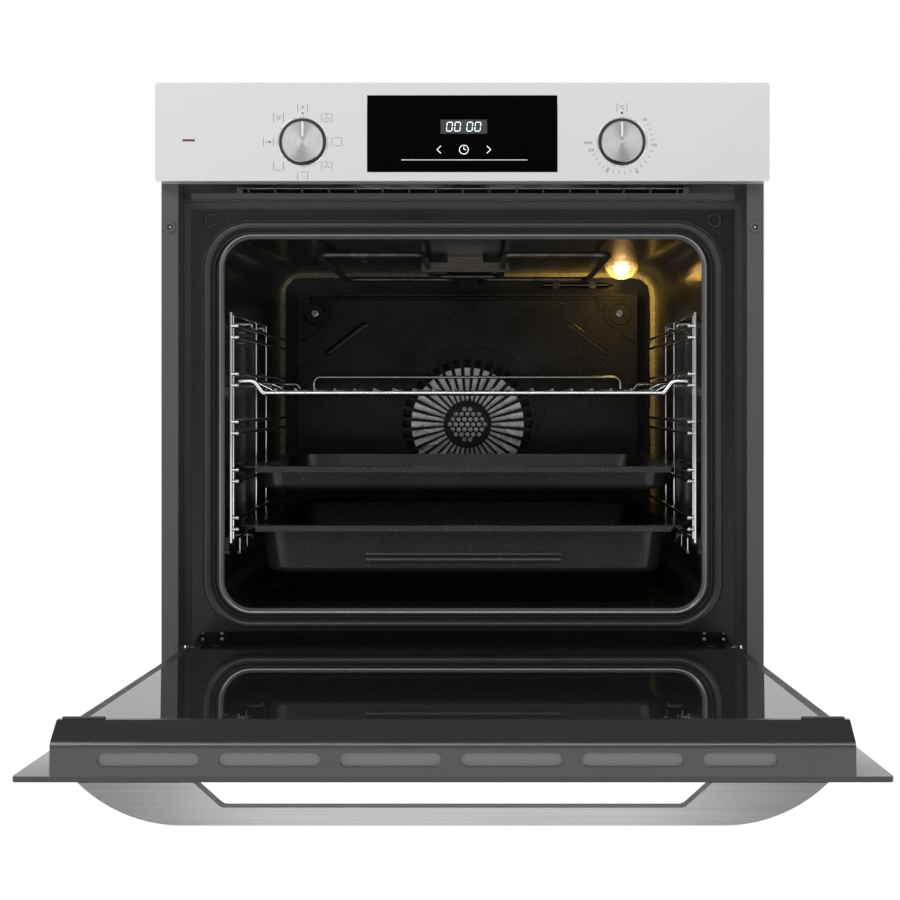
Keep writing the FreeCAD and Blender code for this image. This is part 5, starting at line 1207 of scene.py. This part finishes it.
def tray_ridge():
    """A double bead on the front wall of the deep tray."""
    low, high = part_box("deep_tray")
    shape = bmesh.new()
    y, z = 58.6 * MM, (low.z + high.z) / 2 - 6 * MM
    wall_slope = -0.16
    for drop, lift in ((0, 1.0), (-6 * MM, 0.8)):
        ends = [(x, y + drop * wall_slope, z + drop) for x in (-0.10, 0.10)]
        add_bead(shape, *ends, 5 * MM, lift * MM, FORWARD, steps=60)
    add_piece("deep_tray_ridge", shape, "deep_tray", "tray_enamel", "tray_enamel", 60)


soft_pad("trim_pad_left", -269 * MM, -239 * MM)
soft_pad("trim_pad_right", 239 * MM, 269 * MM)
hinge_rivets()
painted_shade_plugs()
tray_ridge()
print("pads, rivets and ridge added")

# %% [markdown]
# ## The studio
# A white room all round and a plain white floor that shows no shadow. Polished black
# enamel shows whatever it faces, so the room is darker where the camera stands and high
# above, but only to reflections. A dim tilted card makes the slanting sheen on the right
# of the panel, and a narrow bright one draws a thin line of light along rounded edges.


# %% Studio
def white_room():
    """World light, with a dark patch in front of the oven for reflections."""
    world = bpy.data.worlds.new("room")
    bpy.context.scene.world = world
    world.use_nodes = True
    tree = world.node_tree
    back = tree.nodes["Background"]
    parts = along_axes(tree, node(tree, "ShaderNodeTexCoord").outputs["Generated"])
    squares = [
        math_node(tree, "POWER", math_node(tree, "DIVIDE", parts[axis], reach), 2.0)
        for axis, reach in ((0, 0.150), (2, 0.120))
    ]
    distance = math_node(tree, "SQRT", math_node(tree, "ADD", *squares))
    behind = math_node(tree, "GREATER_THAN", parts[1], 0.0)
    bright = math_node(tree, "MAXIMUM", spread(tree, distance, 0.8, 1.35), behind)
    path = node(tree, "ShaderNodeLightPath").outputs
    ahead = math_node(tree, "SUBTRACT", 1.0, bright)
    above = math_node(tree, "MULTIPLY", spread(tree, parts[2], 0.66, 0.90), 0.85)
    dark = math_node(tree, "MAXIMUM", ahead, above)
    shade = math_node(tree, "MULTIPLY", dark, path["Is Glossy Ray"])
    lit = blend_colours(tree, path["Is Camera Ray"], grey(0.72), (1.0, 1.0, 1.0))
    tree.links.new(blend_colours(tree, shade, lit, grey(0.05)), back.inputs["Color"])
    back.inputs["Strength"].default_value = 1.0


def sheet_of_light(name, corners, strength, is_floor=False):
    """A flat glowing backdrop. The floor is seen and lights the room, a card is reflected."""
    shape = bmesh.new()
    shape.faces.new([shape.verts.new(c) for c in corners])
    bmesh.ops.subdivide_edges(shape, edges=shape.edges[:], cuts=2, use_grid_fill=True)
    mesh = bpy.data.meshes.new(name)
    shape.to_mesh(mesh)
    shape.free()
    sheet = show(name, mesh)
    tree, shader = start_material(name, grey(0.9 if is_floor else 0.0), Roughness=0.9)
    shader.inputs["Emission Color"].default_value = (1.0, 1.0, 1.0, 1.0)
    shader.inputs["Emission Strength"].default_value = strength
    mesh.materials.append(materials[name])
    sheet.visible_camera = sheet.visible_diffuse = sheet.visible_shadow = is_floor
    sheet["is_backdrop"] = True
    return sheet


def pure_to_camera(name):
    """The floor is plain white to the camera, with no shadow, as a cut-out picture has."""
    tree = materials[name].node_tree
    shader = tree.nodes["Principled BSDF"]
    end = tree.nodes["Material Output"]
    seen = node(tree, "ShaderNodeLightPath").outputs["Is Camera Ray"]
    white = node(tree, "ShaderNodeEmission", {"Color": (1.0, 1.0, 1.0, 1.0), "Strength": 1.05})
    ends = {0: seen, 1: shader.outputs[0], 2: white.outputs[0]}
    mix = node(tree, "ShaderNodeMixShader", ends)
    tree.links.new(mix.outputs[0], end.inputs["Surface"])


white_room()
floor = sheet_of_light("floor", [(-6, -6, 0), (6, -6, 0), (6, 6, 0), (-6, 6, 0)], 0.55, True)
pure_to_camera("floor")
floor.location.z = -0.2 * MM
dim_side = [(0.307, -3.0, 0.574), (2.2, -3.0, 0.574), (2.2, -3.0, 1.444), (1.047, -3.0, 1.444)]
sheet_of_light("dim_card", dim_side, 0.25)
strip = [(-1.8, -2.45, 1.42), (1.8, -2.45, 1.42), (1.8, -2.25, 1.66), (-1.8, -2.25, 1.66)]
sheet_of_light("strip_card", strip, 7.0)
print("room, floor and two cards for reflections")

# %% [markdown]
# ## Lamps
# One soft light high on the left front models the shapes and draws the wedges on the
# knobs. The oven's own lamp is a small warm light just under its glass dome.


# %% Lamps
def soft_light(name, place, target, side, power):
    """A square soft light that looks at a point."""
    data = bpy.data.lights.new(name, "AREA")
    data.shape = "RECTANGLE"
    data.size = data.size_y = side
    data.energy = power
    lamp = show(name, data)
    lamp.location = place
    lamp.rotation_euler = (Vector(target) - Vector(place)).to_track_quat("-Z", "Y").to_euler()


soft_light("key_light", (-1.5, -2.2, 2.3), (0.0, 0.0, 0.35), 0.8, 16)
dome_low, dome_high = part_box("lamp_glass")
glow_data = bpy.data.lights.new("oven_lamp", "POINT")
glow_data.energy = 0.45
glow_data.color = (1.0, 0.64, 0.14)
glow_data.shadow_soft_size = 0.006
glow = show("oven_lamp", glow_data)
glow.visible_glossy = False
glow.location = (dome_low + dome_high) / 2
glow.location.z = dome_low.z - 12 * MM
print("oven lamp at", [round(v / MM) for v in glow.location])

# %% [markdown]
# ## The size of the finished oven
# The box round everything shown is set against the imported oven's box, and how much it
# grows along each axis, in millimetres, is printed.

# %% Finish
shown_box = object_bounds()
shown_size, cad_size = shown_box[1] - shown_box[0], cad_box[1] - cad_box[0]
print("grows by", [round((a - b) / MM, 2) for a, b in zip(shown_size, cad_size)])
